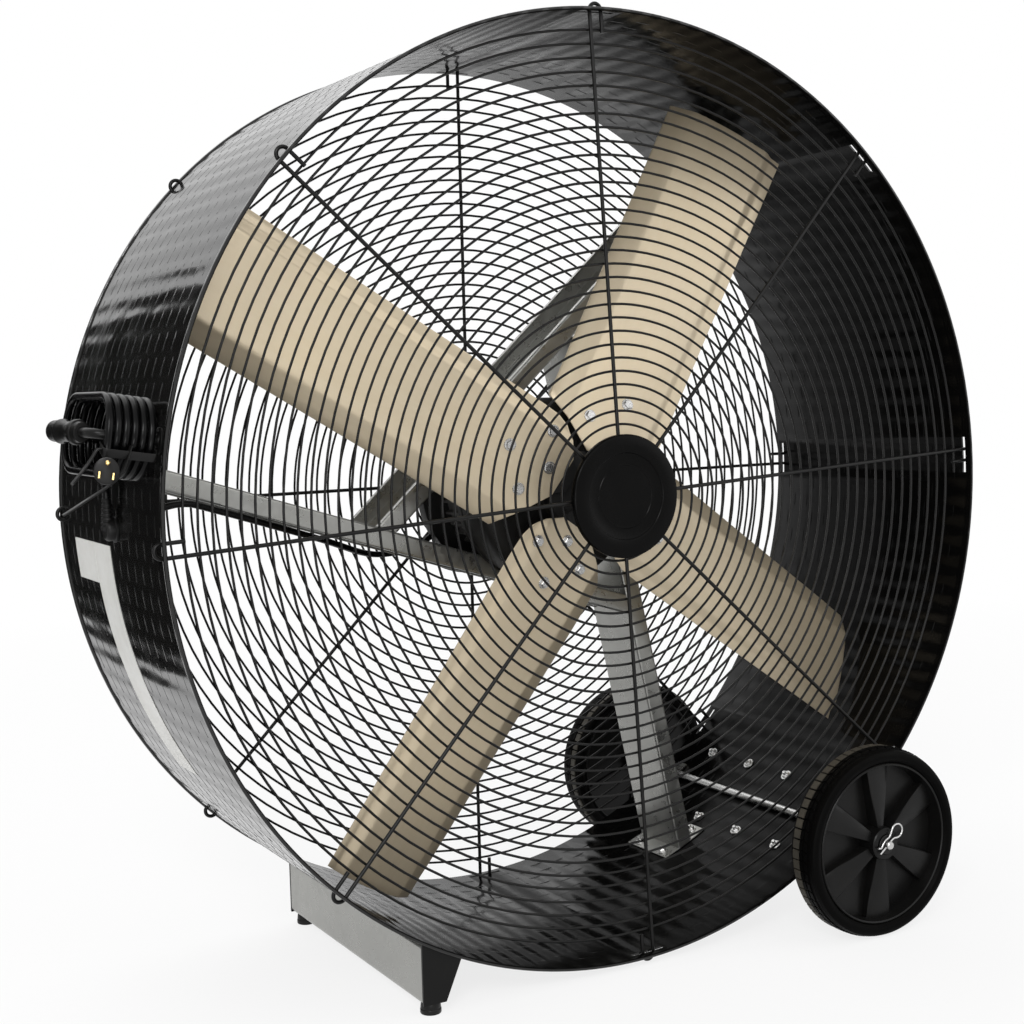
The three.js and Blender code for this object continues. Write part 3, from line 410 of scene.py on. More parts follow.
def instancesOut(tree, given, count, place, angle):
    points = wired(tree, "GeometryNodePoints", {"Count": count, "Position": place}).outputs[0]
    piece = wired(tree, "GeometryNodeObjectInfo", {"Object": given["Piece"]}).outputs["Geometry"]
    back = calc(tree, "MULTIPLY", angle, -1.0)
    turn = wired(tree, "ShaderNodeCombineXYZ", {"Y": back}).outputs[0]
    turn = wired(tree, "FunctionNodeEulerToRotation", {0: turn}).outputs[0]
    links = {"Points": points, "Instance": piece, "Rotation": turn}
    copies = wired(tree, "GeometryNodeInstanceOnPoints", links).outputs[0]
    return finishTree(tree, given, copies)


def aroundTree():
    # Count copies of a piece round the Y axis, Step degrees apart
    inputs = {"Piece": "Object", "Count": "Int", "First": "Float", "Step": "Float"}
    tree, given = newTree("copiesRoundAxis", inputs)
    index = wired(tree, "GeometryNodeInputIndex").outputs[0]
    angle = calc(tree, "MULTIPLY_ADD", index, given["Step"], given["First"])
    return instancesOut(tree, given, given["Count"], (0.0, 0.0, 0.0), calc(tree, "RADIANS", angle))


def wallTree():
    # rows of a piece round the wall, each a run of copies along the depth, every other one shifted
    inputs = {"Piece": "Object", "Rows": "Int", "Columns": "Int"}
    for label in ("Radius", "First Angle", "Row Angle", "First Depth", "Pitch", "Stagger"):
        inputs[label] = "Float"
    tree, given = newTree("copiesOnWall", inputs)
    do = partial(calc, tree)
    index = wired(tree, "GeometryNodeInputIndex").outputs[0]
    row = do("FLOOR", do("DIVIDE", index, given["Columns"]))
    column = do("FLOORED_MODULO", index, given["Columns"])
    stagger = do("MULTIPLY", do("FLOORED_MODULO", row, 2.0), given["Stagger"])
    depth = do("MULTIPLY_ADD", do("ADD", column, stagger), given["Pitch"], given["First Depth"])
    angle = do("RADIANS", do("MULTIPLY_ADD", row, given["Row Angle"], given["First Angle"]))
    place = onCircle(tree, angle, given["Radius"], depth)
    count = do("MULTIPLY", given["Rows"], given["Columns"])
    return instancesOut(tree, given, count, place, angle)


def spiralTree():
    # one round wire wound inwards from Start by Pitch each turn, at one depth
    inputs = {"Points": "Int", "Start": "Float", "Pitch": "Float", "Turns": "Float",
              "Depth": "Float", "Gauge": "Float", "Sides": "Int"}
    tree, given = newTree("spiralWire", inputs)
    do = partial(calc, tree)
    line = wired(tree, "GeometryNodeCurvePrimitiveLine").outputs[0]
    links = {"Curve": line, "Count": given["Points"]}
    line = wired(tree, "GeometryNodeResampleCurve", links).outputs[0]
    index = wired(tree, "GeometryNodeInputIndex").outputs[0]
    share = do("DIVIDE", index, do("SUBTRACT", given["Points"], 1.0))
    turns = do("MULTIPLY", share, given["Turns"])
    radius = do("SUBTRACT", given["Start"], do("MULTIPLY", turns, given["Pitch"]))
    place = onCircle(tree, do("MULTIPLY", turns, 2 * pi), radius, given["Depth"])
    links = {"Geometry": line, "Position": place}
    line = wired(tree, "GeometryNodeSetPosition", links).outputs[0]
    links = {"Resolution": given["Sides"], "Radius": given["Gauge"]}
    ring = wired(tree, "GeometryNodeCurvePrimitiveCircle", links).outputs[0]
    links = {"Curve": line, "Profile Curve": ring, "Fill Caps": True}
    wire = wired(tree, "GeometryNodeCurveToMesh", links).outputs[0]
    links = {"Geometry": wire, "Shade Smooth": True}
    return finishTree(tree, given, wired(tree, "GeometryNodeSetShadeSmooth", links).outputs[0])


trees = {"around": aroundTree(), "wall": wallTree(), "spiral": spiralTree()}


def grown(name, tree, paint, values, matrix, crease=creaseAngle):
    # the plain mesh that a tree makes from its values
    piece = linked(name, bpy.data.meshes.new(name))
    modifier = piece.modifiers.new(name, "NODES")
    modifier.node_group = trees[tree]
    values = {**values, "Material": materials[paint]}
    for item in trees[tree].interface.items_tree:
        if item.item_type == "SOCKET" and item.in_out == "INPUT":
            modifier[item.identifier] = values[item.name]
    plainMesh(piece)
    piece.data.transform(matrix)
    piece.data.set_sharp_from_angle(angle=radians(crease))
    if "Piece" in values:
        bpy.data.objects.remove(values["Piece"])
    return piece


def repeated(name, paint, template, count, first, matrix, *nodes, body=None, slot=None):
    # copies of a template evenly round the axis, from a first angle
    values = {"Piece": template, "Count": count, "First": first, "Step": 360 / count}
    piece = grown(name, "around", paint, values, matrix)
    return wear(piece, paint, *nodes, body=body, slot=slot)


# Materials
def ranged(tree, value, low, high, start=0.3, end=0.7):
    links = {"Value": value, "From Min": start, "From Max": end, "To Min": low, "To Max": high}
    return wired(tree, "ShaderNodeMapRange", links).outputs[0]


def mixed(tree, share, first, second):
    node = wired(tree, "ShaderNodeMix", {"Factor": share}, data_type="RGBA")
    for socket, value in zip([s for s in node.inputs if s.type == "RGBA"], (first, second)):
        if isinstance(value, bpy.types.NodeSocket):
            tree.links.new(value, socket)
        else:
            socket.default_value = (*value, 1)
    return next(s for s in node.outputs if s.type == "RGBA")


def noise(tree, place, scale, detail=4.0, rough=0.55):
    links = {"Vector": place, "Scale": scale, "Detail": detail, "Roughness": rough}
    return wired(tree, "ShaderNodeTexNoise", links).outputs["Fac"]


def bumped(tree, strength, depth, height):
    links = {"Strength": strength, "Distance": depth, "Height": height}
    return wired(tree, "ShaderNodeBump", links)


def dusted(tree, coords, colour, gloss, look):
    # dust lies in specks on what faces up
    geometry = wired(tree, "ShaderNodeNewGeometry")
    up = wired(tree, "ShaderNodeSeparateXYZ", {0: geometry.outputs["Normal"]}).outputs["Z"]
    specks = ranged(tree, noise(tree, coords, 420.0, 3.0, 0.7), 0.3, 1, 0.42, 0.62)
    settled = calc(tree, "MULTIPLY", ranged(tree, up, 0, look["dustShare"], 0.1, 1.0), specks)
    duller = calc(tree, "ADD", gloss, calc(tree, "MULTIPLY", settled, 0.4))
    return mixed(tree, settled, colour, look["dust"]), duller


def spangled(tree, coords, colour, gloss, look):
    # zinc crystals: cells with a tone of their own
    cells = wired(tree, "ShaderNodeTexVoronoi", {"Vector": coords, "Scale": look["spangle"]})
    tone = wired(tree, "ShaderNodeSeparateColor", {0: cells.outputs["Color"]}).outputs[0]
    uneven = calc(tree, "ADD", gloss, ranged(tree, tone, -0.05, 0.07, 0, 1))
    return mixed(tree, ranged(tree, tone, 0, 0.35, 0, 1), colour, look["spangleColour"]), uneven


def stampedRows(tree, coords, rows):
    # the sheet is stamped in rows round the drum and buckled a little, so its reflection is wavy
    do = partial(calc, tree)
    place = wired(tree, "ShaderNodeSeparateXYZ", {0: coords}).outputs
    x = do("SUBTRACT", place["X"], fan["x"] / 1000)
    z = do("SUBTRACT", place["Z"], fan["height"] / 1000)
    phase = do("MULTIPLY", do("ARCTAN2", z, x), float(rows["count"]))
    wander = do("MULTIPLY", noise(tree, coords, rows["scale"], 2.0), rows["wander"])
    buckle = do("MULTIPLY", noise(tree, coords, rows["buckleScale"], 2.0), rows["buckle"])
    wave = do("ADD", do("COSINE", do("ADD", phase, wander)), buckle)
    return bumped(tree, rows["strength"], rows["depth"], wave).outputs[0]


plainLook = {"stretch": (1, 1, 1), "patchScale": 9.0, "streakScale": 60.0, "streakShare": 0.5,
             "bumpScale": 300.0, "bump": 0.15, "bumpDepth": 0.0004, "metallic": 0, "specular": 0.5}


def finish(name, look):
    # mottled colour, uneven gloss and a fine bump; a look may add streaks, spangle, dust and rows
    look = {**plainLook, **look}
    material = bpy.data.materials.new(name)
    material.use_nodes = True
    tree = material.node_tree
    shader = tree.nodes["Principled BSDF"].inputs
    if "map" in look:
        coords = wired(tree, "ShaderNodeUVMap", uv_map=look["map"]).outputs[0]
    else:
        coords = wired(tree, "ShaderNodeTexCoord").outputs["Object"]
    stretched = wired(tree, "ShaderNodeMapping", {"Vector": coords, "Scale": look["stretch"]})
    patches = ranged(tree, noise(tree, coords, look["patchScale"], 5.0), 0, 1)
    colour = mixed(tree, patches, look["colour"], look["second"])
    streaks = noise(tree, stretched.outputs[0], look["streakScale"], 6.0, 0.6)
    if "streak" in look:
        share = ranged(tree, streaks, 0, look["streakShare"])
        colour = mixed(tree, share, colour, look["streak"])
    gloss = ranged(tree, streaks, *look["gloss"])
    if "spangle" in look:
        colour, gloss = spangled(tree, coords, colour, gloss, look)
    if "dust" in look:
        colour, gloss = dusted(tree, coords, colour, gloss, look)
    height = noise(tree, coords, look["bumpScale"], 4.0, 0.6)
    bump = bumped(tree, look["bump"], look["bumpDepth"], height)
    if "rows" in look:
        tree.links.new(stampedRows(tree, coords, look["rows"]), bump.inputs["Normal"])
    tree.links.new(colour, shader["Base Color"])
    tree.links.new(gloss, shader["Roughness"])
    tree.links.new(bump.outputs[0], shader["Normal"])
    shader["Metallic"].default_value = look["metallic"]
    shader["Specular IOR Level"].default_value = look["specular"]
    return material


stamped = {"count": 128, "scale": 16.0, "wander": 2.6, "buckleScale": 9.0, "buckle": 1.6}
finishes = {
    "drumPaint": {
        "colour": (0.003, 0.003, 0.0028), "second": (0.005, 0.0048, 0.0044),
        "gloss": (0.07, 0.15), "streakScale": 14.0, "specular": 0.42,
        "bumpScale": 260.0, "bump": 0.12, "bumpDepth": 0.0002,
        "dust": (0.11, 0.1, 0.09), "dustShare": 0.02,
        "rows": {**stamped, "strength": 0.5, "depth": 0.0006}},
    # the drum's inside: the same black paint as drumPaint, made darker and much less glossy, which
    # is painted shade
    "drumInsideShaded": {
        "colour": (0.001, 0.001, 0.001), "second": (0.002, 0.0019, 0.0018),
        "gloss": (0.14, 0.24), "streakScale": 14.0, "specular": 0.055,
        "bumpScale": 260.0, "bump": 0.15, "bumpDepth": 0.0002,
        "dust": (0.1, 0.095, 0.085), "dustShare": 0.005,
        "rows": {**stamped, "strength": 0.6, "depth": 0.0007}},
    "blackPaint": {
        "colour": (0.001, 0.001, 0.001), "second": (0.002, 0.0019, 0.0018),
        "gloss": (0.2, 0.32), "streakScale": 25.0, "specular": 0.06,
        "bumpScale": 350.0, "bump": 0.2, "dust": (0.12, 0.11, 0.1), "dustShare": 0.008},
    "guardWire": {
        "colour": (0.002, 0.002, 0.002), "second": (0.004, 0.0038, 0.0036),
        "gloss": (0.26, 0.42), "specular": 0.2,
        "bumpScale": 900.0, "bump": 0.25, "bumpDepth": 0.0001,
        "dust": (0.1, 0.095, 0.085), "dustShare": 0.03},
    "bladeMetal": {
        "map": "sheet", "stretch": (0.5, 20.0, 1.0),
        "colour": (0.56, 0.465, 0.32), "second": (0.51, 0.43, 0.31), "patchScale": 6.0,
        "streak": (0.58, 0.505, 0.38), "streakScale": 5.0, "streakShare": 0.4,
        "gloss": (0.29, 0.34), "metallic": 0.5,
        "bumpScale": 60.0, "bump": 0.05, "bumpDepth": 0.0003},
    "blackCasting": {
        "colour": (0.007, 0.007, 0.007), "second": (0.012, 0.0115, 0.011),
        "gloss": (0.42, 0.6), "specular": 0.2,
        "bumpScale": 420.0, "bump": 0.45, "bumpDepth": 0.0005,
        "dust": (0.12, 0.11, 0.09), "dustShare": 0.06},
    "statorGrey": {
        "colour": (0.17, 0.17, 0.17), "second": (0.25, 0.245, 0.235), "stretch": (1, 90, 1),
        "streak": (0.1, 0.095, 0.09), "streakScale": 14.0,
        "gloss": (0.4, 0.58), "metallic": 0.6, "bumpScale": 500.0, "bump": 0.3},
    "zincSheet": {
        "colour": (0.34, 0.34, 0.32), "second": (0.28, 0.28, 0.265), "stretch": (3, 3, 3),
        "streak": (0.37, 0.368, 0.35), "streakScale": 18.0,
        "spangle": 110.0, "spangleColour": (0.39, 0.39, 0.375),
        "gloss": (0.25, 0.38), "metallic": 0.92, "bumpScale": 90.0, "bump": 0.05},
    "brightSteel": {
        "colour": (0.5, 0.5, 0.5), "second": (0.42, 0.42, 0.415), "stretch": (8, 1, 8),
        "streak": (0.6, 0.59, 0.57), "streakScale": 120.0,
        "gloss": (0.2, 0.34), "metallic": 0.95,
        "bumpScale": 800.0, "bump": 0.1, "bumpDepth": 0.0001},
    "tyreRubber": {
        "colour": (0.0008, 0.0008, 0.0008), "second": (0.0016, 0.0015, 0.0014),
        "gloss": (0.4, 0.6), "streakScale": 40.0, "specular": 0.03,
        "bumpScale": 380.0, "bump": 0.3, "bumpDepth": 0.0003,
        "dust": (0.2, 0.16, 0.11), "dustShare": 0.006},
    # the tread band's rubber: a lighter tan than the tyre, which is a painted highlight, and heavy
    # dust on what faces up
    "treadHighlightAndDust": {
        "colour": (0.045, 0.04, 0.03), "second": (0.024, 0.022, 0.018), "patchScale": 25.0,
        "gloss": (0.5, 0.7), "specular": 0.25,
        "bumpScale": 420.0, "bump": 0.4, "dust": (0.2, 0.16, 0.11), "dustShare": 0.12},
    "blackPlastic": {
        "colour": (0.0025, 0.0025, 0.0025), "second": (0.0045, 0.0043, 0.004),
        "gloss": (0.28, 0.42), "specular": 0.16,
        "bumpScale": 700.0, "bump": 0.3, "bumpDepth": 0.0002,
        "dust": (0.1, 0.095, 0.085), "dustShare": 0.02},
    "blackRubber": {
        "colour": (0.003, 0.003, 0.003), "second": (0.005, 0.0048, 0.0045),
        "gloss": (0.35, 0.5), "specular": 0.22,
        "bumpScale": 600.0, "bump": 0.3, "bumpDepth": 0.0002,
        "dust": (0.1, 0.09, 0.08), "dustShare": 0.04},
    "cordJacket": {
        "colour": (0.001, 0.001, 0.0012), "second": (0.002, 0.002, 0.002),
        "gloss": (0.18, 0.28), "streakScale": 30.0, "specular": 0.12,
        "bumpScale": 160.0, "bump": 0.14, "bumpDepth": 0.0003,
        "dust": (0.1, 0.095, 0.085), "dustShare": 0.006},
    "brass": {
        "colour": (0.62, 0.44, 0.16), "second": (0.5, 0.35, 0.12),
        "streak": (0.7, 0.55, 0.28), "streakScale": 200.0,
        "gloss": (0.2, 0.34), "metallic": 1.0,
        "bumpScale": 900.0, "bump": 0.12, "bumpDepth": 0.0001},
    "blankLabel": {
        "colour": (0.62, 0.62, 0.6), "second": (0.56, 0.555, 0.53), "patchScale": 30.0,
        "gloss": (0.35, 0.5), "bumpScale": 500.0, "bump": 0.1,
        "dust": (0.4, 0.39, 0.36), "dustShare": 0.1},
}
materials = {name: finish(name, look) for name, look in finishes.items()}
print("materials made", len(materials))

# The cord: out of the relief's sleeve, up to the handle and wound on it
handle = {"angle": 171, "centre": -95, "half": 81.7, "reach": 70, "bar": 5, "corner": 20,
          "root": 14, "rootGauge": 2.5, "screwSpread": 10, "grip": 13, "waist": 10.5,
          "gripHalf": 54.5, "section": 0.86}
relief = {"angle": 181.2, "depth": -30, "radius": 12, "height": 12, "stem": 5.5, "sleeve": 34,
          "sleeveRoot": 7.5, "sleeveTip": 5.2, "ribs": 6}
cord = {"radius": 4, "bend": 39, "pitch": 8.5, "turns": 5.5, "steps": 48, "straight": 52.0,
        "base": 558.1, "sides": 14, "spacing": 5.2, "tailEnd": Vector((4.25, -19, 35))}
plug = {"radius": 13, "length": 33, "axis": Vector((0.27, -1, 0)).normalized(), "flat": 0.92,
        "pinRadius": 2.4, "pinLength": 20, "pinRise": 11.9}
tie = {"angle": 20, "gauge": 1.6, "width": 9, "band": 1.0, "slack": 1.2,
       "tails": [([(52.4, 14), (57, 14.5), (64, 30), (76, 49)], 0.55),
                 ([(26, 8), (32, 36), (42, 48), (82, 80)], 2.1)]}


def leadPath():
    lean = radians(relief["angle"] - handle["angle"])
    axis, r = fan["radius"] + fan["gap"] + relief["sleeveRoot"], cord["radius"]
    up = Vector((sin(lean), 0, -cos(lean)))
    middle = Vector((axis * cos(lean), relief["depth"], axis * sin(lean)))
    start = middle + up * (relief["sleeve"] + fan["gap"])
    coilStart = handle["centre"] + cord["straight"] + cord["bend"]
    end = Vector((cord["base"], coilStart, 2 * r + fan["gap"]))
    down = Vector((0, 0, r))
    curve = bezier(start + up * 2 * r, start + up * 5 * r, end + down * 5, end + down * 2, 24)
    return [start, *curve, end]


def trackPoint(step, steps, rise):
    # a place on the racetrack round the handle, from the rear end upwards
    quarter, straight, bend = steps / 6, cord["straight"], cord["bend"]

    def turn(share, side):
        a = pi / 2 * share
        return side * (straight + bend * cos(a)), -side * bend * sin(a)

    if step <= quarter:
        along, down = turn(step / quarter, 1)
    elif step < 2 * quarter:
        along, down = straight * (1 - 2 * (step - quarter) / quarter), -bend
    elif step <= 4 * quarter:
        along, down = turn((step - 3 * quarter) / quarter, -1)
    elif step < 5 * quarter:
        along, down = straight * (2 * (step - 4 * quarter) / quarter - 1), bend
    else:
        along, down = turn((step - 6 * quarter) / quarter, 1)
    return Vector((cord["base"] + rise, handle["centre"] + along, down))


def coilPath():
    steps, count = cord["steps"], round(cord["turns"] * cord["steps"]) + 1
    path = [trackPoint(i % steps, steps, cord["pitch"] * i / steps) for i in range(count)]
    last, axis = path[-1], plug["axis"]
    end = last + cord["tailEnd"]
    path += bezier(last, last + Vector((0, 0, 21)), end - axis * 13, end, 14)[1:]
    return path + [end + axis * 2 * cord["radius"]]


toHandle = fanMatrix(handle["angle"])
cordPath = evenly(leadPath() + coilPath(), cord["spacing"])
cordRoute = [toHandle @ p for p in cordPath]
cordLength = sum((b - a).length for a, b in zip(cordRoute, cordRoute[1:]))
cordTube = swept(cordPath, roundShape(cord["radius"], cord["sides"]))
supplyCord = shape("supplyCord", cordTube, toHandle, crease=60)
wear(supplyCord, "cordJacket", "cord_lead", "cord_coil")

# the plug hangs at the coil's end and faces the front
upwards = Vector((0, 0, 1))
plugFrame = Matrix((plug["axis"].cross(upwards), plug["axis"], upwards)).transposed().to_4x4()
plugPlace = Matrix.Translation(cordPath[-1] + plug["axis"] * fan["gap"])
toPlug = toHandle @ plugPlace @ plugFrame


def plugParts():
    neck, radius, length = relief["sleeveTip"], plug["radius"], plug["length"]
    profile = [(0, 0), (neck - 0.6, 0), (neck, 0.6)]
    for k in range(4):
        at, r = 1.6 + 2.1 * k, 0.2 * k
        profile += [(neck + 0.5 + r, at), (neck + 0.5 + r, at + 1.1)]
        profile += [(neck - 0.5 + r, at + 1.3), (neck - 0.5 + r, at + 1.9)]
    profile += [(neck + 1.6, 0.34 * length), (radius - 3.4, 0.4 * length),
                (radius - 1, 0.47 * length), (radius, 0.55 * length)]
    for k in range(3):
        at = (0.62 + 0.1 * k) * length
        profile += [(radius, at), (radius - 0.5, at + 0.5)]
        profile += [(radius - 0.5, at + 1.4), (radius, at + 1.9)]
    profile += [(radius, length - 1.6), (radius - 0.5, length - 0.5), (radius - 1.6, length)]
    return revolved([*profile, (0, length)], 40, flat=plug["flat"])


def groundPin():
    r, face, long = plug["pinRadius"], plug["length"] + fan["gap"], plug["pinLength"]
    profile = [(0, face), (r, face), (r, face + long - 2.4), (0.85 * r, face + long - 1),
               (0.5 * r, face + long), (0, face + long)]
    return moved(revolved(profile, 24), shift(z=-plug["pinRise"] * 2 / 3))


plugBody = wear(shape("plugBody", plugParts(), toPlug), "blackRubber", "plug")
plugPin = wear(shape("plugPin", groundPin(), toPlug), "brass", "plug_ground_pin")
prongs = [paintNode(name, "brass") for name in ("plug_blade_left", "plug_blade_right")]


def tieParts():
    # a band round the coil's front end and two tails
    near = cord["bend"] - cord["radius"] - tie["slack"]
    far = cord["bend"] + 2 * cord["radius"] + 3.5 * tie["slack"]
    low = cord["base"] + cord["pitch"] / 2 - cord["radius"] - fan["gap"]
    high = cord["base"] + cord["pitch"] * (cord["turns"] + 0.15) + cord["radius"] + fan["gap"]
    lean, half, middle = radians(tie["angle"]), tie["band"] / 2, (low + high) / 2
    out, across = Vector((0, -cos(lean), sin(lean))), Vector((0, -sin(lean), -cos(lean)))
    end, inside, outside = handle["centre"] - cord["straight"], near - half, far + half
    ring = [(middle, inside), (high + half, inside), (high + half, outside),
            (low - half, outside), (low - half, inside), (middle, inside)]
    corners = [Vector((x, end, 0)) + out * d for x, d in ring]
    parts = [swept(rounded(corners, 5, 6), flatShape(tie["width"], tie["band"]), side=across)]
    upright = (0, 1, 0)
    for line, forward in tie["tails"]:
        depth = end - cord["bend"] - forward * cord["radius"]
        path = rounded([Vector((cord["base"] + x, depth, z)) for x, z in line], 9, 7)
        tip = path[-1] + (path[-1] - path[-2]).normalized() * tie["width"] / 3
        path = evenly([*path, tip], 2.0)
        parts.append(swept(path, flatShape(tie["width"], tie["gauge"]), side=upright))
        ridge = [(a * 0.8, b) for a, b in flatShape(tie["width"] * 0.62, tie["gauge"] * 0.9)]
        top = [p + Vector((0, -0.2, 0)) for p in path][1:-1]
        sizes = [1.0] * (len(top) - 2) + [0.93, 0.75]
        parts.append(swept(top, ridge, side=upright, sizes=sizes))
    return joined(*parts)


cordTie = wear(shape("cordTie", tieParts(), toHandle), "blackRubber", "cord_tie")
tuple(cordRoute[0])
print("cord wound", round(cordLength, 3))


def reliefParts():
    # a boss in the drum's hole, and a ribbed sleeve that holds the cord along the wall
    wall, r, top = fan["radius"], relief["radius"], fan["radius"] + relief["height"]
    stem, seat = relief["stem"], fan["inner"] - 3
    boss = [(0, seat), (stem, seat), (stem, wall), (r + 2, wall + 0.3), (r + 2, wall + 2),
            (r, wall + 3), (r, top - 4), (r - 1, top - 1.4), (r - 3, top), (0, top)]
    root, tip, long = relief["sleeveRoot"], relief["sleeveTip"], relief["sleeve"]
    profile, step = [(0, 0), (root, 0)], long / (relief["ribs"] + 1)
    for k in range(relief["ribs"]):
        at, r0 = 4 + step * k, root + (tip - root) * k / relief["ribs"]
        profile += [(r0, at), (r0 - 1.2, at + 0.5), (r0 - 1.2, at + 1.9), (r0 - 0.2, at + 2.4)]
    profile += [(tip, long - 2), (tip - 0.5, long), (0, long)]
    sleevePlace = shift(wall + fan["gap"] + root) @ turned("X", -90)
    parts = moved(revolved(boss, 40), turned("Z", -90)), moved(revolved(profile, 32), sleevePlace)
    return moved(joined(*parts), shift(y=relief["depth"]))


wear(shape("cordRelief", reliefParts(), fanMatrix(relief["angle"])), "blackRubber", "cord_relief")


# Handle
def handleParts():
    half, gauge, r = handle["half"], handle["rootGauge"], handle["root"]
    root, top = fan["radius"] + fan["gap"], fan["radius"] + handle["reach"]
    corners = [(root + 1.2, -half, 0), (top, -half, 0), (top, half, 0), (root + 1.2, half, 0)]
    path = evenly(rounded(corners, handle["corner"], 10), 4)
    parts, face = [swept(path, roundShape(handle["bar"], 18))], root + gauge
    foot = revolved([(0, root), (r, root), (r, face - 0.6), (r - 0.6, face), (7, face),
                     (6, face + 1.6), (0, face + 1.6)], 36)
    screw = revolved([(0, 0), (2.6, 0), (2.4, 1.2), (1.4, 1.8), (0, 1.9)], 14)
    for side in (-1, 1):
        parts.append(moved(foot, shift(y=side * half) @ turned("Z", -90)))
    for side in (-1, 1):
        for a in (-1, 1):
            place = shift(face, side * half, a * handle["screwSpread"])
            parts.append(moved(screw, place @ turned("Z", -90)))
    return moved(joined(*parts), shift(y=handle["centre"]))


def gripParts():
    # a waisted grip with raised collars, two slots and the seam of its halves
    half, r, waist = handle["gripHalf"], handle["grip"], handle["waist"]
    line = [(5.4, -half), (9, -half), (10.2, -half + 0.8), (10.8, -half + 14), (12.4, -half + 15),
            (r, -half + 17), (r, -half + 22), (waist + 1.2, -half + 30), (waist, -12), (waist, 6),
            (waist + 1.4, 14), (r, 19), (r, 23), (12.2, 24.5), (11.2, 25.2), (11.2, half - 2),
            (10.2, half - 0.6), (9, half), (5.4, half)]
    body = revolved(line, 48, closed=True, flat=handle["section"])
    slots = [block(1.2, 2.4, 6, (handle["section"] * 12.6, y, 0)) for y in (-half + 16.5, 24)]
    seam = [block(0.7, 2 * half - 4, 0.9, (0, 0, side * 10.9)) for side in (-1, 1)]
    place = shift(fan["radius"] + handle["reach"], handle["centre"])
    return moved(joined(body, *slots, *seam), place)


wear(shape("handleBar", handleParts(), toHandle), "blackPlastic", "handle_bar")
wear(shape("handleGrip", gripParts(), toHandle, crease=28), "blackPlastic", "handle_grip")
print("handle made")

# Drum
drum = {"segments": 288, "rows": 128, "columns": 13, "pitch": 27.2, "dash": 22, "dashWidth": 2.4,
        "dashRise": 0.16}
hook = {"radius": 2.25, "spread": 15, "tail": 25, "play": 0.35, "slotEnd": 13.75, "count": 8}
firstSpoke = {"front": 3.2, "rear": 0.0}
drumInner = fan["inner"] - 0.7  # the sheet's inner face as it shows


def drumParts():
    r, half, inner = fan["radius"], fan["half"], drumInner
    edge = [(inner, half - 1.2), (inner + 0.5, half - 0.3), (inner + 1.4, half), (r + 1.2, half),
            (r + 1.8, half - 0.5), (r + 2, half - 1.2), (r + 2, half - 4.6), (r + 1.6, half - 5.6),
            (r + 0.5, half - 6.2), (r, half - 6.6)]
    profile = [(a, -b) for a, b in edge] + [(a, b) for a, b in reversed(edge)]
    return revolved(profile, drum["segments"], closed=True)


def slotCutters():
    # one slot in the wall for each spoke's hook
    long = hook["spread"] + 2 * (hook["radius"] + hook["slotEnd"])
    wide, step = 2 * (hook["radius"] + hook["play"]), 360 / hook["count"]
    cut = block(30, wide, long, (fan["radius"], -fan["guard"], -hook["spread"] / 2))
    return joined(*[moved(cut, facing(side) @ spin(first + step * k))
                    for side, first in firstSpoke.items() for k in range(hook["count"])])


drumShell = shape("drumShell", drumParts(), fanMatrix())
carved(drumShell, shape("slotCutters", slotCutters(), fanMatrix()))
wear(drumShell, "drumPaint", "drum")
# faces that look towards the axis take the darker, duller inside copy of the paint: painted shade
drumShell.data.materials.append(materials["drumInsideShaded"])
for face in drumShell.data.polygons:
    x, z = face.center.x - fan["x"] / 1000, face.center.z - fan["height"] / 1000
    out = Vector((x, 0, z))
    face.material_index = 1 if face.normal.dot(out) < -0.2 * out.length else 0


def dashTemplate(rise, sunk=0.3, around=10):
    # a low raised dash, its foot sunk in the sheet
    long, wide, points = drum["dash"] / 2, drum["dashWidth"] / 2, []
    for share, height in ((1, -sunk if rise > 0 else sunk), (0.8, 0.55 * rise), (0.45, rise)):
        end = long - wide * 3 * (1 - share)
        for a in (pi * k / (around // 2) for k in range(around)):
            z = end * (1 if sin(a) > 0 else -1) * abs(sin(a)) ** 0.35
            points.append((height, wide * share * cos(a), z))
    faces = []
    for low in (0, around):
        for k in range(around):
            j = (k + 1) % around
            faces.append((low + k, low + j, low + around + j, low + around + k))
    faces += [tuple(range(2 * around, 3 * around)), tuple(reversed(range(around)))]
    return shape("dash", (points, faces))


# the inner dashes wear the darker inside copy of the paint, which is painted shade
for name, radius, rise, paint in (("outerDashes", fan["radius"], drum["dashRise"], "drumPaint"),
                                  ("innerDashes", drumInner, -drum["dashRise"], "drumInsideShaded")):
    values = {"Piece": dashTemplate(rise), "Rows": drum["rows"], "Columns": drum["columns"],
              "Radius": radius, "First Angle": 0.0, "Row Angle": 360 / drum["rows"],
              "First Depth": -drum["pitch"] * (drum["columns"] - 0.5) / 2,
              "Pitch": drum["pitch"], "Stagger": 0.5}
    dashes = grown(name, "wall", paint, values, fanMatrix())
    wear(dashes, paint, body="frame", slot="black_paint")

# each label's first angle and depth and last angle and depth
labels = {"gauge": 0.3, "lift": 0.22, "noticeLabel": (183.3, 62.5, 188.2, 140),
          "stripLabel": (183.3, -3, 213, 61.5)}
for name in ("noticeLabel", "stripLabel"):
    low, front, high, back = labels[name]
    seat = fan["radius"] + labels["lift"]
    patch = wallPatch(seat, seat + labels["gauge"], low, high, front, back, 48)
    wear(shape(name, patch, fanMatrix()), "blankLabel", body="frame", slot="black_paint")
print("drum made")

# Guards: a spiral wire welded to hooked spokes, which stand on a hub plate
guard = {"wire": 1.5, "pitch": 15.4, "rimGap": 14, "turns": 29.83, "points": 3200, "sides": 8,
         "plate": 62, "plateGauge": 3, "disc": 72, "discDepth": 8, "recess": 50,
         "recessDepth": 2.5, "groove": 38, "weldDepth": 1.8}


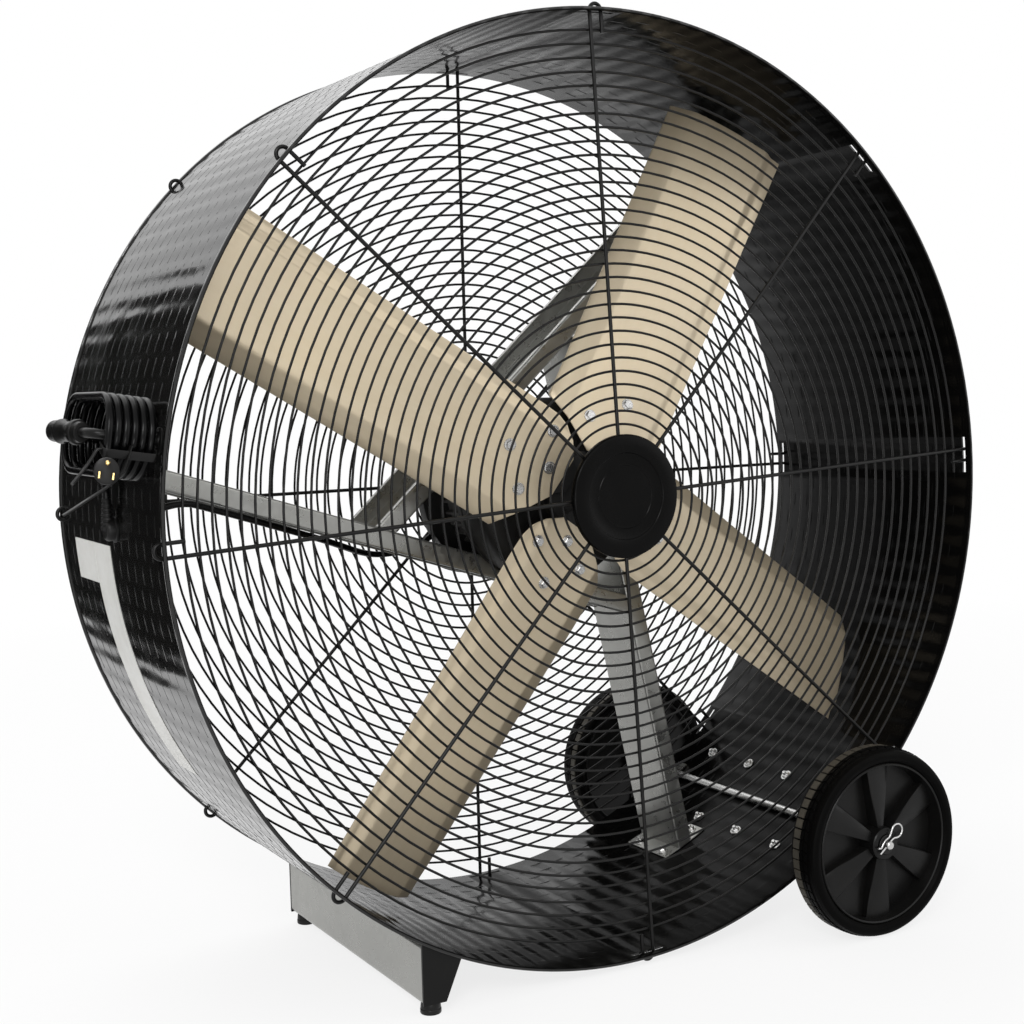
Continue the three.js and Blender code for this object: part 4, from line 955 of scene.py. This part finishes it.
def spokeTemplate():
    wall, bend = fan["radius"], hook["spread"] / 2
    path = [Vector((guard["plate"] - 4.5, 0, 0)), Vector((wall - 8, 0, 0)), Vector((wall, 0, 0))]
    for a in (pi * k / 12 for k in range(1, 13)):
        path.append(Vector((wall + bend * sin(a), 0, bend * (cos(a) - 1))))
    path += [Vector((wall - 8, 0, -2 * bend)), Vector((wall - hook["tail"], 0, -2 * bend))]
    return moved(swept(path, roundShape(hook["radius"], 12)), shift(y=-fan["guard"]))


def hubPlate():
    r, half = guard["plate"], guard["plateGauge"] / 2
    profile = [(0, -half), (r - 0.8, -half), (r, 0.6 - half), (r, half - 0.6), (r - 0.8, half),
               (0, half)]
    return moved(revolved(profile, 72), shift(y=-fan["guard"]))


def weldParts(start, first):
    # a small weld wherever the spiral crosses a spoke
    dot = revolved([(0, -1.3), (1.6, -0.8), (2.2, 0), (1.6, 0.8), (0, 1.3)], 8)
    radii, depth = [], guard["weldDepth"] - fan["guard"]
    r, parts = start - guard["pitch"] * radians(first) / (2 * pi), []
    while r > guard["disc"] + 6:
        radii.append(r)
        r -= guard["pitch"]
    for angle in (360 / hook["count"] * k for k in range(hook["count"])):
        place = spin(first + angle) @ shift(-guard["pitch"] * angle / 360)
        parts += [moved(moved(dot, shift(r, depth)), place) for r in radii]
    return joined(*parts)


def discParts():
    back = -fan["guard"] - hook["radius"] - fan["gap"]
    front, r, inner = back - guard["discDepth"], guard["disc"], guard["recess"]
    floor, groove = front + guard["recessDepth"], guard["groove"]
    profile = [(0, back), (r - 1, back), (r, back - 0.8), (r, front + 2.6), (r - 0.4, front + 1.4),
               (r - 1.2, front + 0.5), (r - 2.6, front), (inner + 2.4, front),
               (inner + 1.4, front + 0.3), (inner + 0.4, front + 1.2), (inner, floor - 0.4),
               (inner - 0.8, floor), (groove, floor), (groove - 0.6, floor - 0.5),
               (groove - 2, floor - 0.5), (groove - 2.6, floor), (0, floor)]
    return revolved(profile, 96)


for side, first in firstSpoke.items():
    place = fanMatrix() @ facing(side)
    start = fan["inner"] - guard["rimGap"] - guard["wire"]
    depth = hook["radius"] + guard["wire"] + 0.02 - fan["guard"]
    values = {"Points": guard["points"], "Start": start, "Pitch": guard["pitch"],
              "Turns": guard["turns"], "Depth": depth, "Gauge": guard["wire"],
              "Sides": guard["sides"]}
    spiral = grown(side + "Spiral", "spiral", "guardWire", values, place, crease=60)
    wear(spiral, "guardWire", side + "_guard_spiral")
    values = {"Piece": shape("bar", spokeTemplate()), "Count": hook["count"], "First": first,
              "Step": 360 / hook["count"]}
    bars = grown(side + "Bars", "around", "guardWire", values, place, crease=60)
    plate = shape("plate", hubPlate(), place)
    both = {"active_object": bars, "selected_editable_objects": [bars, plate], "object": bars}
    with bpy.context.temp_override(**both):
        bpy.ops.object.join()
    wear(bars, "guardWire", side + "_guard_spokes")
    welds = shape(side + "Welds", weldParts(start, first), place)
    wear(welds, "guardWire", body="frame", slot="guard_wire")
    wear(shape(side + "HubDisc", discParts(), place), "blackPaint", side + "_hub_disc")
print("guards made")

# Blades: folded sheet with a turned-up leading flap and a lip and joggle along the trailing edge
blade = {"count": 4, "first": 58.8, "gauge": 2, "tip": 530, "root": 44, "shoulder": 86,
         "bolts": 92, "depth": -112, "tipDepth": -49.3, "knee": 140, "rootPitch": 12,
         "tipPitch": 20, "rootFlap": 27, "shoulderFlap": 89, "tipFlap": 75, "flap": 25,
         "flapRise": 0.54, "lip": 12, "joggle": 11.5, "fall": 0.25, "edge": 0.55,
         "trail": [(44, -22), (56, -42), (70, -54), (86, -60), (110, -62), (530, -75)],
         "boltPlaces": [(121, 0), (84, 39), (84, -39), (64.6, 0)]}
bladeLean = (blade["tipDepth"] - blade["depth"]) / (blade["tip"] - blade["bolts"])


def readTable(table, value):
    for (x0, y0), (x1, y1) in zip(table, table[1:]):
        if value <= x1 or (x1, y1) == table[-1]:
            return y0 + (y1 - y0) * (value - x0) / (x1 - x0)


def straightFlap(r):
    ends = [(blade["shoulder"], blade["shoulderFlap"]), (blade["tip"], blade["tipFlap"])]
    return readTable(ends, r)


def leadingEdge(r):
    ends = [(blade["root"], blade["rootFlap"]), (blade["shoulder"], blade["shoulderFlap"])]
    return readTable(ends, r) if r < blade["shoulder"] else straightFlap(r)


def straightTrail(r):
    (x0, y0), (x1, y1) = blade["trail"][-2:]
    return y0 + (y1 - y0) * (r - x0) / (x1 - x0)


def bladePitch(r):
    share = max(0, (r - blade["knee"]) / (blade["tip"] - blade["knee"]))
    return tan(radians(blade["rootPitch"] + (blade["tipPitch"] - blade["rootPitch"]) * share))


def easing(value, soft=2.2):
    # value where it is positive, with a soft start
    return 0 if value < -soft else value if value > soft else (value + soft) ** 2 / (4 * soft)


def bladeSurface(r, t):
    pitch = bladePitch(r)
    flap = easing(t - straightFlap(r) + blade["flap"]) * blade["flapRise"]
    past = straightTrail(r) + blade["lip"] + blade["joggle"] - t
    joggle = (easing(past) - easing(past - blade["joggle"])) * (blade["fall"] + pitch)
    return blade["depth"] + (r - blade["bolts"]) * bladeLean + t * pitch + flap + joggle


def bladeColumns(r):
    # places across the blade, close together where it folds
    trail, lead = readTable(blade["trail"], r), leadingEdge(r)
    lip, fold = straightTrail(r) + blade["lip"], straightFlap(r) - blade["flap"]
    marks = [lip + d for d in (-4.5, -2.4, -0.8, 0.8, 2.4, 4.5)]
    marks += [lip + blade["joggle"] + d for d in (-2.4, -0.8, 0.8, 2.4, 4.5)]
    marks += [fold + (d - 1) * 12 for d in (-4, -3, -2, -1, 0)]
    marks += [fold + d for d in (-5, -2.4, -0.8, 0.8, 2.4, 5, 14)]
    low, high, count = trail + 0.8, lead - 0.8, len(marks)
    inside = [min(max(m, low + 0.02 * i), high - 0.02 * (count - i))
              for i, m in enumerate(sorted(marks))]
    return [trail, low, *inside, high, lead]


def bladePart():
    stations = [44, 45, 50, 56, 63, 70, 78, 86, 97, 110, 124, 140]
    stations += [140 + 24.3 * k for k in range(1, 16)] + [520, 529, 530]
    grids = []
    for side in (-1, 1):
        rows = []
        for station in stations:
            columns, row = bladeColumns(station), []
            for k, t in enumerate(columns):
                r = sqrt(station ** 2 - t ** 2) if station > 500 else station  # a round tip
                edge = k in (0, len(columns) - 1) or station in (blade["root"], blade["tip"])
                thick = side * (blade["edge"] if edge else 1) * blade["gauge"] / 2
                row.append(Vector((r, bladeSurface(station, t) + thick, t)))
            rows.append(row)
        grids.append(rows)
    return slab(*grids)


def bladeSheet(index):
    # a blade, with its flat sheet as a UV map so that the brushed streaks run along it
    place = fanMatrix(blade["first"] + 360 / blade["count"] * index)
    piece = shape(f"blade{index + 1}", bladePart(), place, crease=50)
    layer, back = piece.data.uv_layers.new(name="sheet"), place.inverted()
    for loop in piece.data.loops:
        at = back @ piece.data.vertices[loop.vertex_index].co
        layer.data[loop.index].uv = (at.x / 1000 + 0.7 * index, at.z / 1000)
    return wear(piece, "bladeMetal", f"blade_{index + 1}")


def boltHead(flats, height, washer, stub=0.0):
    # a hexagon head with a chamfered top on a washer, standing up along -Y from its seat at 0
    parts = [revolved([(0, -1), (flats, -1), (flats, -height + 0.9), (flats * 0.86, -height),
                       (0, -height)], 6),
             revolved([(0, 0.2), (washer, 0.2), (washer, -1.1), (washer - 0.3, -1.4),
                       (0, -1.4)], 28)]
    if stub:
        parts.append(revolved([(0, -height + 0.5), (stub, -height + 0.5), (stub, -height - 3),
                               (stub - 0.6, -height - 3.6), (0, -height - 3.6)], 16))
    return joined(*parts)


def bladeBoltTemplate():
    parts = []
    for r, t in blade["boltPlaces"]:
        lean = Matrix.Rotation(atan(bladeLean), 4, "Z")
        lean = lean @ Matrix.Rotation(-atan(bladePitch(r)), 4, "X")
        seat = shift(r, bladeSurface(r, t), t) @ lean @ shift(y=-blade["gauge"] / 2)
        parts.append(moved(boltHead(6.2, 5, 7.5), seat))
    return shape("bladeBolt", joined(*parts))


for index in range(blade["count"]):
    bladeSheet(index)
repeated("bladeBolts", "brightSteel", bladeBoltTemplate(), blade["count"], blade["first"],
         fanMatrix(), body="rotor", slot="bright_steel")
paintNode("hub_spider", "blackCasting")
shaftProfile = [(0, -140), (7, -140), (8, -139), (8, -21), (7, -20), (0, -20)]
wear(shape("motorShaft", revolved(shaftProfile, 32), fanMatrix()), "brightSteel", "motor_shaft")
print("blades made")

# Motor
motor = {"bell": 115, "front": -62, "nose": 34, "back": 9.7, "core": 84, "coreBack": 96,
         "fins": 36, "rearSeat": 100.3, "rearDepth": 30, "ribs": 24, "vents": 8, "bolts": 4,
         "boltRadius": 99}


def frontBellParts():
    r, front, back, nose = motor["bell"], motor["front"], motor["back"], motor["nose"]
    profile = [(0, -19.7), (8.6, -19.7), (8.6, front), (nose - 1, front), (nose, front + 0.8),
               (nose + 1.5, front + 3.6), (r - 24, front + 6), (r - 14, front + 7.6),
               (r - 6, front + 11.4), (r - 2, front + 17), (r, front + 25), (r, -4), (r - 1.2, -3),
               (r - 1.2, 1), (r, 2), (r, back - 1), (r - 1, back), (0, back)]
    return revolved(profile, 96)


def rearBellParts():
    r, seat, back = motor["bell"], motor["rearSeat"], motor["rearSeat"] + motor["rearDepth"]
    profile = [(0, seat - 4), (90, seat - 4), (90, seat), (r - 1, seat), (r, seat + 1),
               (r, back - 13), (r - 1.4, back - 10), (r - 8, back - 4.4), (r - 14, back - 0.8),
               (r - 17, back), (30, back), (29, back - 1.4), (0, back - 1.4)]
    return revolved(profile, 96)


def finTemplate(size, low, high, radius):
    deep, wide = size
    return shape("fin", block(deep, high - low, wide, (radius, (low + high) / 2, 0)))


wear(shape("motorFrontBell", frontBellParts(), fanMatrix()), "blackCasting", "motor_front_bell")
rib = finTemplate((40, 2.6), motor["front"] + 4, motor["front"] + 8, 66)
repeated("bellRibs", "blackCasting", rib, motor["ribs"], 7.0, fanMatrix(), body="frame",
         slot="black_casting")
r, back = motor["core"], motor["coreBack"]
core = [(0, 10), (r - 1, 10), (r, 11), (r, back - 1), (r - 1, back), (0, back)]
wear(shape("statorCore", revolved(core, 72), fanMatrix()), "statorGrey", "motor_stator")
repeated("statorFins", "statorGrey", finTemplate((7.5, 3.2), 10.4, 95.6, 86.2), motor["fins"],
         0.0, fanMatrix(), body="frame", slot="stator_grey")
rearBell = shape("motorRearBell", rearBellParts(), fanMatrix())
back = motor["rearSeat"] + motor["rearDepth"]
vent = block(40, 10, 12, (motor["bell"] / 2 + 8, back, 0))
vents = [moved(vent, spin(360 / motor["vents"] * k)) for k in range(motor["vents"])]
carved(rearBell, shape("vents", joined(*vents), fanMatrix()))
wear(rearBell, "blackCasting", "motor_rear_bell")
head = moved(boltHead(5, 4, 6.5), shift(motor["boltRadius"], back - 0.4) @ turned("X", 180))
repeated("bellBolts", "brightSteel", shape("cap", head), motor["bolts"], 22.5, fanMatrix(),
         body="frame", slot="bright_steel")
print("motor made")

# Struts: folded channels in a pinwheel round the motor, each with a pad on the wall
strut = {"first": 42.3, "step": 120, "front": 10, "back": 100, "web": 100, "flange": 24, "lip": 8,
         "sheet": 2, "pad": 70, "bend": 3.4, "seat": 548.35, "boltAcross": 26, "boltInset": 18}
strutMiddle = strut["web"] + strut["flange"] / 2


def strutParts():
    web, edge, seat = strut["web"], strut["web"] + strut["flange"], strut["seat"]
    front, back, lip = strut["front"], strut["back"], strut["lip"]
    corners = [(-edge, front + lip), (-edge, front), (-web, front), (-web, back), (-edge, back),
               (-edge, back - lip)]

    def ends(across, depth):
        # the inner end meets the next strut at 60 degrees, the outer end meets the wall
        t = -across
        inner = Vector((-(web - 0.3 + 0.5 * t) / cos(pi / 6), depth, t))
        return inner, Vector((sqrt(seat ** 2 - t * t), depth, t))

    bar = foldedSheet(corners, strut["sheet"], strut["bend"], ends)
    low, high = (degrees(asin((strutMiddle + strut["pad"] / 2 * d) / seat)) for d in (-1, 1))
    return joined(bar, wallPatch(seat - strut["sheet"], seat, low, high, front, back, 12))


def strutBoltParts():
    heads = []
    for offset in (-strut["boltAcross"], strut["boltAcross"]):
        for depth in (strut["front"] + strut["boltInset"], strut["back"] - strut["boltInset"]):
            angle = degrees(asin((strutMiddle + offset) / strut["seat"]))
            seat = spin(angle) @ shift(strut["seat"] - strut["sheet"], depth) @ turned("Z", 90)
            heads.append(moved(boltHead(5.4, 4.4, 7.4, 2.6), seat @ turned("X", 180)))
    return joined(*heads)


for k, where in enumerate(("upper", "left", "lower")):
    at = fanMatrix(strut["first"] + strut["step"] * k)
    wear(soften(shape(where + "Strut", strutParts(), at), 0.0005), "zincSheet", "strut_" + where)
    bolts = shape(where + "StrutBolts", strutBoltParts(), at)
    wear(bolts, "brightSteel", body="frame", slot="bright_steel")


def motorLeadPath():
    # from the relief along the left strut and round the motor to the rear bell
    entry, bellAngle = radians(relief["angle"] - strut["first"] - strut["step"]), radians(50)
    edge = strut["web"] + strut["flange"] + cord["radius"] + 2
    behind, start = motor["rearSeat"] + motor["rearDepth"] / 2, fan["inner"] - 3.3
    marks = [Vector((r * cos(entry), relief["depth"], r * sin(entry))) for r in (start, start - 8)]
    marks += [Vector((500, relief["depth"], 160)), Vector((455, -18, edge + 4)),
              Vector((400, 4, edge)), Vector((250, 60, edge)), Vector((150, behind - 4, edge))]
    marks += [Vector((r * cos(bellAngle), behind, r * sin(bellAngle)))
              for r in (139, 123.3, 115.3)]
    return evenly(smoothLine(marks, 8), 6)


motorCable = swept(motorLeadPath(), roundShape(cord["radius"], 12))
toLead = fanMatrix(strut["first"] + strut["step"])
wear(shape("motorCable", motorCable, toLead, crease=60), "cordJacket", "motor_lead")
print("struts made")

# Wheels: tyre with two kinds of tread block, and a rim of six wedge spokes on a closed skin
wheel = {"x": 346.7035, "radius": 118, "width": 44, "centre": 262.6, "section": 18, "lugs": 58,
         "tread": 1.9, "spokes": 6, "barrel": 4.5, "rimWidth": 38, "hub": 20}
# first and last depth of a block, its lean and how far it drops towards the shoulder
treadRows = {
    "Band": [(-14.6, -3.4, 0.0, 0.5)],
    "Zigzag": [(-18.6, -15.4, 0.0, 3.0), (-2.4, 3.6, 0.55, 0), (4.4, 10.4, -0.55, 0.4),
               (11.2, 16.2, 0.3, 2.0)],
}
# the band row's blocks wear the lighter tan rubber: a painted highlight on one row of the tread,
# with dust
treadPaint = {"Band": "treadHighlightAndDust", "Zigzag": "tyreRubber"}
# a spoke's radius, half width and face
spokeStations = [(17, 5.6, 14), (24, 6.6, 13.6), (38, 9.2, 12.6), (54, 12.2, 11.4),
                 (70, 14.8, 10.2), (84, 16.6, 9.2), (93, 17.6, 8.6), (95.6, 17.8, 8.4)]
axle = {"radius": 5, "half": 293.45, "play": 0.4, "pin": 1.25, "pinDepth": 287.95,
        "pinTurn": {"front": 52, "rear": -20}, "spacer": (199.6, 240.3), "spacerRadius": 9,
        "washerRadius": 12, "washerGauge": 1.5}


def axleMatrix(side, depth=0.0, turn=0.0):
    # depth is counted outwards, so the front wheel's frame is the turned one
    outwards = facing("rear" if side == "front" else "front")
    return toMetres @ shift(wheel["x"], 0, wheel["radius"]) @ outwards @ shift(y=depth) @ spin(turn)


def tyreParts():
    r, half, bead = wheel["radius"], wheel["width"] / 2, wheel["radius"] - wheel["section"]
    base = r - wheel["tread"]
    right = [(bead, 15), (bead + 0.4, 17.5), (bead + 1.6, 19), (bead + 3, 20.2),
             (bead + 3.6, 21), (bead + 6, half - 0.3), (bead + 9, half), (r - 6, half - 0.8),
             (r - 3.6, half - 2.6), (r - 2.4, half - 5.4), (base, half - 10), (base, 4)]
    return revolved(right + [(a, -b) for a, b in reversed(right)], 112, closed=True)


def lugTemplate(rows):
    # one pitch of the tread
    top, base, parts = wheel["radius"], wheel["radius"] - wheel["tread"] - 0.6, []
    pitch = 2 * pi * top / wheel["lugs"]
    faces = [(0, 3, 2, 1), (4, 5, 6, 7), (0, 1, 5, 4), (1, 2, 6, 5), (2, 3, 7, 6), (3, 0, 4, 7)]
    for low, high, lean, drop in rows:
        points, middle = [], (low + high) / 2
        for x, shrink in ((base - drop, 0), (top - drop, 0.5)):
            near, far = low + shrink, high - shrink
            for y, z in ((near, -1), (far, -1), (far, 1), (near, 1)):
                around = z * (pitch * 0.44 - shrink) + lean * (y - middle)
                points.append(Vector((sqrt(x ** 2 - around ** 2), y, around)))
        parts.append((points, faces))
    return shape("lug", joined(*parts))


def rimParts():
    outer = wheel["radius"] - wheel["section"] - fan["gap"]
    inner, half, hub = outer - wheel["barrel"], wheel["rimWidth"] / 2, wheel["hub"]
    barrel = [(inner + 1.6, half - 0.8), (inner + 2.6, half), (outer - 1, half), (outer, half - 1),
              (outer, 1 - half), (outer - 1, -half), (inner + 2.6, -half),
              (inner + 1.6, 0.8 - half), (inner, -8), (inner, 6)]
    boss = [(5.4, -22), (hub - 1.4, -22), (hub, -20.6), (hub + 1, -4), (hub + 1, 6), (hub, 20.4),
            (hub - 1.2, 21.8), (13, 22), (12.4, 21), (5.4, 21)]
    skin = [(hub - 1, -5), (inner + 1, -5), (inner + 1, -3), (hub - 1, -3)]
    parts = ((barrel, 112), (boss, 56), (skin, 84))
    return joined(*[revolved(profile, count, closed=True) for profile, count in parts])


def rimSpokeTemplate():
    # each spoke is a wedge that widens outwards, its face a little crowned and one edge higher
    front, back = [], []
    for r, half, face in spokeStations:
        for row, flat in ((back, True), (front, False)):
            row.append([])
            for k in (-1, -0.93, -0.6, 0, 0.6, 0.93, 1):
                crown = (0.9 if abs(k) == 1 else 0), 1.6 * k, 1.1 * k * k
                depth = -8 if flat else face - crown[0] - crown[1] - crown[2]
                row[-1].append(Vector((sqrt(max(r * r - (half * k) ** 2, 1)), depth, half * k)))
    return shape("rimSpoke", slab(back, front))


def pinParts():
    # a hair pin: one leg through the axle, a loop, and a wavy leg beside the axle
    away, top = axle["radius"] + axle["pin"] + 0.3, 2 * axle["radius"] + 2
    line = [Vector((0, 0, -top - 4)), Vector((0, 0, -4)), Vector((0, 0, top - 2))]
    for a in (radians(-38 + 256 * k / 14) for k in range(15)):
        line.append(Vector((away / 2 - 8.4 * cos(a), 0, top + 9 + 8.6 * sin(a))))
    leg = ((0, top - 3), (0, 6), (0.9, 0), (0, -5), (-1.6, -10), (1.6, -14))
    line += [Vector((away + x, 0, z)) for x, z in leg]
    return swept(evenly(smoothLine(line, 6), 1.1), roundShape(axle["pin"], 10))


def ring(inner, outer, low, high, edge, drop, segments):
    # a tube or a washer with chamfered outer edges
    profile = [(inner, low), (outer - edge, low), (outer, low + edge), (outer, high - drop),
               (outer - edge, high), (inner, high)]
    return revolved(profile, segments, closed=True)


for side in ("front", "rear"):
    at, body, axis = axleMatrix(side, wheel["centre"]), side + "_wheel", axleMatrix(side)
    wear(shape(side + "Tyre", tyreParts(), at, crease=28), "tyreRubber", side + "_wheel_tyre")
    for row, blocks in treadRows.items():
        repeated(side + "Tread" + row, treadPaint[row], lugTemplate(blocks), wheel["lugs"], 0.0,
                 at, body=body, slot="tyre_rubber")
    wear(shape(side + "Rim", rimParts(), at), "blackPlastic", side + "_wheel_rim")
    repeated(side + "RimSpokes", "blackPlastic", rimSpokeTemplate(), wheel["spokes"], 90.0, at,
             body=body, slot="black_plastic")
    bore, face = axle["radius"] + axle["play"], wheel["centre"] + wheel["width"] / 2 + fan["gap"]
    tube = ring(bore, axle["spacerRadius"], *axle["spacer"], 0.6, 0.6, 32)
    wear(shape(side + "Spacer", tube, axis), "brightSteel", side + "_axle_spacer")
    disc = ring(bore, axle["washerRadius"], face, face + axle["washerGauge"], 0.4, 0.3, 40)
    wear(shape(side + "Washer", disc, axis), "blackCasting", side + "_washer")
    pinPlace = axleMatrix(side, axle["pinDepth"], axle["pinTurn"][side])
    pin = shape(side + "HairPin", pinParts(), pinPlace, crease=60)
    wear(pin, "brightSteel", side + "_hair_pin")
    paintNode(side + "_axle_clip", "zincSheet")

half = axle["half"]
rod = [(0, -half), (4.2, -half), (5, 1 - half), (5, half - 1), (4.2, half), (0, half)]
wear(shape("wheelAxle", revolved(rod, 32), axleMatrix("rear")), "brightSteel", "axle")

# Backing plate under the axle's clips, and its bolts in two rows of four
plate = {"half": 150, "width": 150, "inner": 0.35, "outer": 2.3, "spread": 109, "first": -123.9,
         "pitch": 82.6, "angle": -54.7083}
wall, angle = fan["radius"], plate["angle"]
plateSpan = degrees(asin(plate["width"] / 2 / (wall + 2)))
patch = wallPatch(wall + plate["inner"], wall + plate["outer"], angle - plateSpan,
                  angle + plateSpan, -plate["half"], plate["half"], 24)
backingPlate = soften(shape("backingPlate", patch, fanMatrix()), 0.0006)
wear(backingPlate, "blackPaint", "axle_backing_plate")


def plateBoltTemplate():
    # a nut inside the wall and a round head outside it
    dome = revolved([(0, 0), (6, 0), (5.8, -1.4), (4.4, -3.2), (2.4, -4), (0, -4.2)], 24)
    inside = moved(boltHead(5.6, 4.2, 7.6, 2.6), shift(-3.2) @ turned("Z", -90))
    outside = moved(dome, shift(plate["outer"]) @ turned("Z", 90))
    return shape("plateBolt", joined(inside, outside))


rowAngle = 180 * plate["spread"] / (pi * wall)
values = {"Piece": plateBoltTemplate(), "Rows": 2, "Columns": 4, "Radius": wall,
          "First Angle": angle - rowAngle / 2, "Row Angle": rowAngle,
          "First Depth": plate["first"], "Pitch": plate["pitch"], "Stagger": 0.0}
plateBolts = grown("plateBolts", "wall", "brightSteel", values, fanMatrix())
wear(plateBolts, "brightSteel", *[f"plate_bolt_{k + 1}" for k in range(8)])
print("wheels made")

# Foot bracket with a rubber foot and its bolt at each end
bracket = {"angle": 242.6, "top": 51, "bottom": 26, "sheet": 2.5, "rise": 14, "inset": 11,
           "bend": 5, "half": 189.4}


def bracketCorners():
    lean, rise = radians(bracket["angle"]), bracket["rise"] + bracket["sheet"]
    out = Vector((cos(lean), sin(lean)))
    middle = out * (fan["radius"] + fan["gap"] + bracket["sheet"])
    across = Vector((-out.y, out.x)) * bracket["top"] / 2
    upper, lower, inside = middle - across, middle + across, rise - fan["height"]
    return [Vector((upper.x + bracket["bottom"], inside)), Vector((upper.x, inside)), upper, lower]


def bracketEnds(x, z):
    return Vector((x, -bracket["half"], z)), Vector((x, bracket["half"], z))


def footParts():
    # a ribbed rubber foot with a socket for its bolt
    top = bracket["rise"] - fan["gap"]
    profile = [(0, 0), (10.6, 0), (11.6, 0.4), (12, 1.2), (12, 5), (11.2, 6), (11.6, 7),
               (10.9, 12.4), (10.4, top), (3.4, top), (3.4, top - 5), (0, top - 5)]
    return revolved(profile, 48)


corners = bracketCorners()
folded = foldedSheet(corners, bracket["sheet"], bracket["bend"], bracketEnds, 6)
footBracket = soften(shape("footBracket", folded, fanMatrix()), 0.0005)
wear(footBracket, "zincSheet", "foot_bracket")
footX, footY = corners[1].x + bracket["bottom"] / 2, bracket["half"] - bracket["inset"]
for side, sign in (("front", -1), ("rear", 1)):
    paintNode(side + "_foot_cap", "blackPlastic")
    floor = shift(footX, sign * footY, -fan["height"])
    foot = moved(footParts(), floor @ turned("X", 90))
    wear(shape(side + "RubberFoot", foot, fanMatrix()), "blackRubber", side + "_rubber_foot")
    seat = shift(footX, sign * footY, bracket["rise"] + bracket["sheet"] - fan["height"])
    stem = revolved([(0, 7.6), (3, 7.6), (3, 0), (0, 0)], 16)
    bolt = moved(joined(boltHead(5.6, 4, 7.2), stem), seat @ turned("X", -90))
    wear(shape(side + "FootBolt", bolt, fanMatrix()), "brightSteel", side + "_foot_bolt")
print("bracket made")

# Floor and light
studio = {"floor": 14, "colour": (0.85, 0.85, 0.85), "rough": 0.9, "sky": 0.7, "near": 1.2,
          "far": 3.2, "nearShare": 0.8,
          "card": {"x": (-1.9, -0.62), "y": 1.05, "low": 0.01, "top": 1.2, "tone": 0.012}}
lamps = {
    "keyLamp": {"place": (-2.3, -2.9, 2.7), "aim": (0, 0, 0.6), "size": (1.3, 1.3), "power": 82},
    "fillLamp": {"place": (2.8, -2.4, 1.5), "aim": (0, 0, 0.5), "size": (2.0, 2.0), "power": 14},
    "lowLamp": {"place": (-1.5, -2.8, 0.4), "aim": (-0.1, 0, 0.6), "size": (1.4, 0.7),
                "power": 20},
    "frontLamp": {"place": (0.75, -2.7, 2.05), "aim": (0.2, 0, 0.9), "size": (1.6, 1.2),
                  "power": 8},
    "topLamp": {"place": (-0.3, 1.6, 3.0), "aim": (0, 0, 0.7), "size": (3.4, 2.6), "power": 34},
}


def showsWhite(tree):
    # 1 for camera, glossy and transmission rays, so that the ground is white to the eye, in
    # reflections and through glass
    rays = wired(tree, "ShaderNodeLightPath").outputs
    seen = calc(tree, "MAXIMUM", rays["Is Camera Ray"], rays["Is Glossy Ray"])
    return calc(tree, "MAXIMUM", seen, rays["Is Transmission Ray"])


def stageSheet(name, corners):
    # a flat sheet that is part of the stage, with an empty material of the same name
    sheet = shape(name, ([Vector(c) for c in corners], [(0, 1, 2, 3)]))
    material = bpy.data.materials.new(name)
    material.use_nodes = True
    sheet.data.materials.append(material)
    return sheet, material.node_tree


def addFloor():
    # pale and lit near the object, where it keeps the shadow, and plain white further away
    size = studio["floor"]
    corners = [(-size, -size, 0), (size, -size, 0), (size, size, 0), (-size, size, 0)]
    tree = stageSheet("studioFloor", corners)[1]
    shader = tree.nodes["Principled BSDF"]
    shader.inputs["Base Color"].default_value = (*studio["colour"], 1)
    shader.inputs["Roughness"].default_value = studio["rough"]
    place = wired(tree, "ShaderNodeTexCoord").outputs["Object"]
    away = wired(tree, "ShaderNodeVectorMath", {0: place}, operation="LENGTH").outputs["Value"]
    white = ranged(tree, away, studio["nearShare"], 1.0, studio["near"], studio["far"])
    glow = wired(tree, "ShaderNodeEmission", {"Color": (1, 1, 1, 1), "Strength": 1.0}).outputs[0]
    share = calc(tree, "MULTIPLY", showsWhite(tree), white)
    blend = wired(tree, "ShaderNodeMixShader", {0: share, 1: shader.outputs[0], 2: glow})
    tree.links.new(blend.outputs[0], tree.nodes["Material Output"].inputs["Surface"])


def addCard():
    # a dark card beyond the camera's view, which the drum's glossy side shows as a dark band
    card = studio["card"]
    (left, right), y, low, top = card["x"], card["y"], card["low"], card["top"]
    corners = [(left, y, low), (right, y, low), (right, y, top), (left, y, top)]
    piece, tree = stageSheet("darkCard", corners)
    shader = tree.nodes["Principled BSDF"]
    shader.inputs["Base Color"].default_value = (card["tone"], card["tone"], card["tone"], 1)
    shader.inputs["Specular IOR Level"].default_value = 0
    piece.visible_camera = piece.visible_diffuse = False
    piece.visible_shadow = piece.visible_transmission = False


def addWorld():
    world = bpy.data.worlds.new("studioWorld")
    world.use_nodes = True
    tree = world.node_tree
    tree.nodes.clear()
    lit, shown = (wired(tree, "ShaderNodeBackground", {"Color": (1, 1, 1, 1), "Strength": power})
                  for power in (studio["sky"], 1.0))
    links = {0: showsWhite(tree), 1: lit.outputs[0], 2: shown.outputs[0]}
    wired(tree, "ShaderNodeOutputWorld", {0: wired(tree, "ShaderNodeMixShader", links).outputs[0]})
    scene.world = world


def addLamp(name, lamp):
    data = bpy.data.lights.new(name, "AREA")
    data.shape, data.energy = "RECTANGLE", lamp["power"]
    data.size, data.size_y = lamp["size"]
    light = bpy.data.objects.new(name, data)
    scene.collection.objects.link(light)
    light.location = lamp["place"]
    aim = Vector(lamp["aim"]) - Vector(lamp["place"])
    light.rotation_mode = "QUATERNION"
    light.rotation_quaternion = aim.to_track_quat("-Z", "Y")


addFloor()
addCard()
addWorld()
for name, lamp in lamps.items():
    addLamp(name, lamp)
print("studio lit")
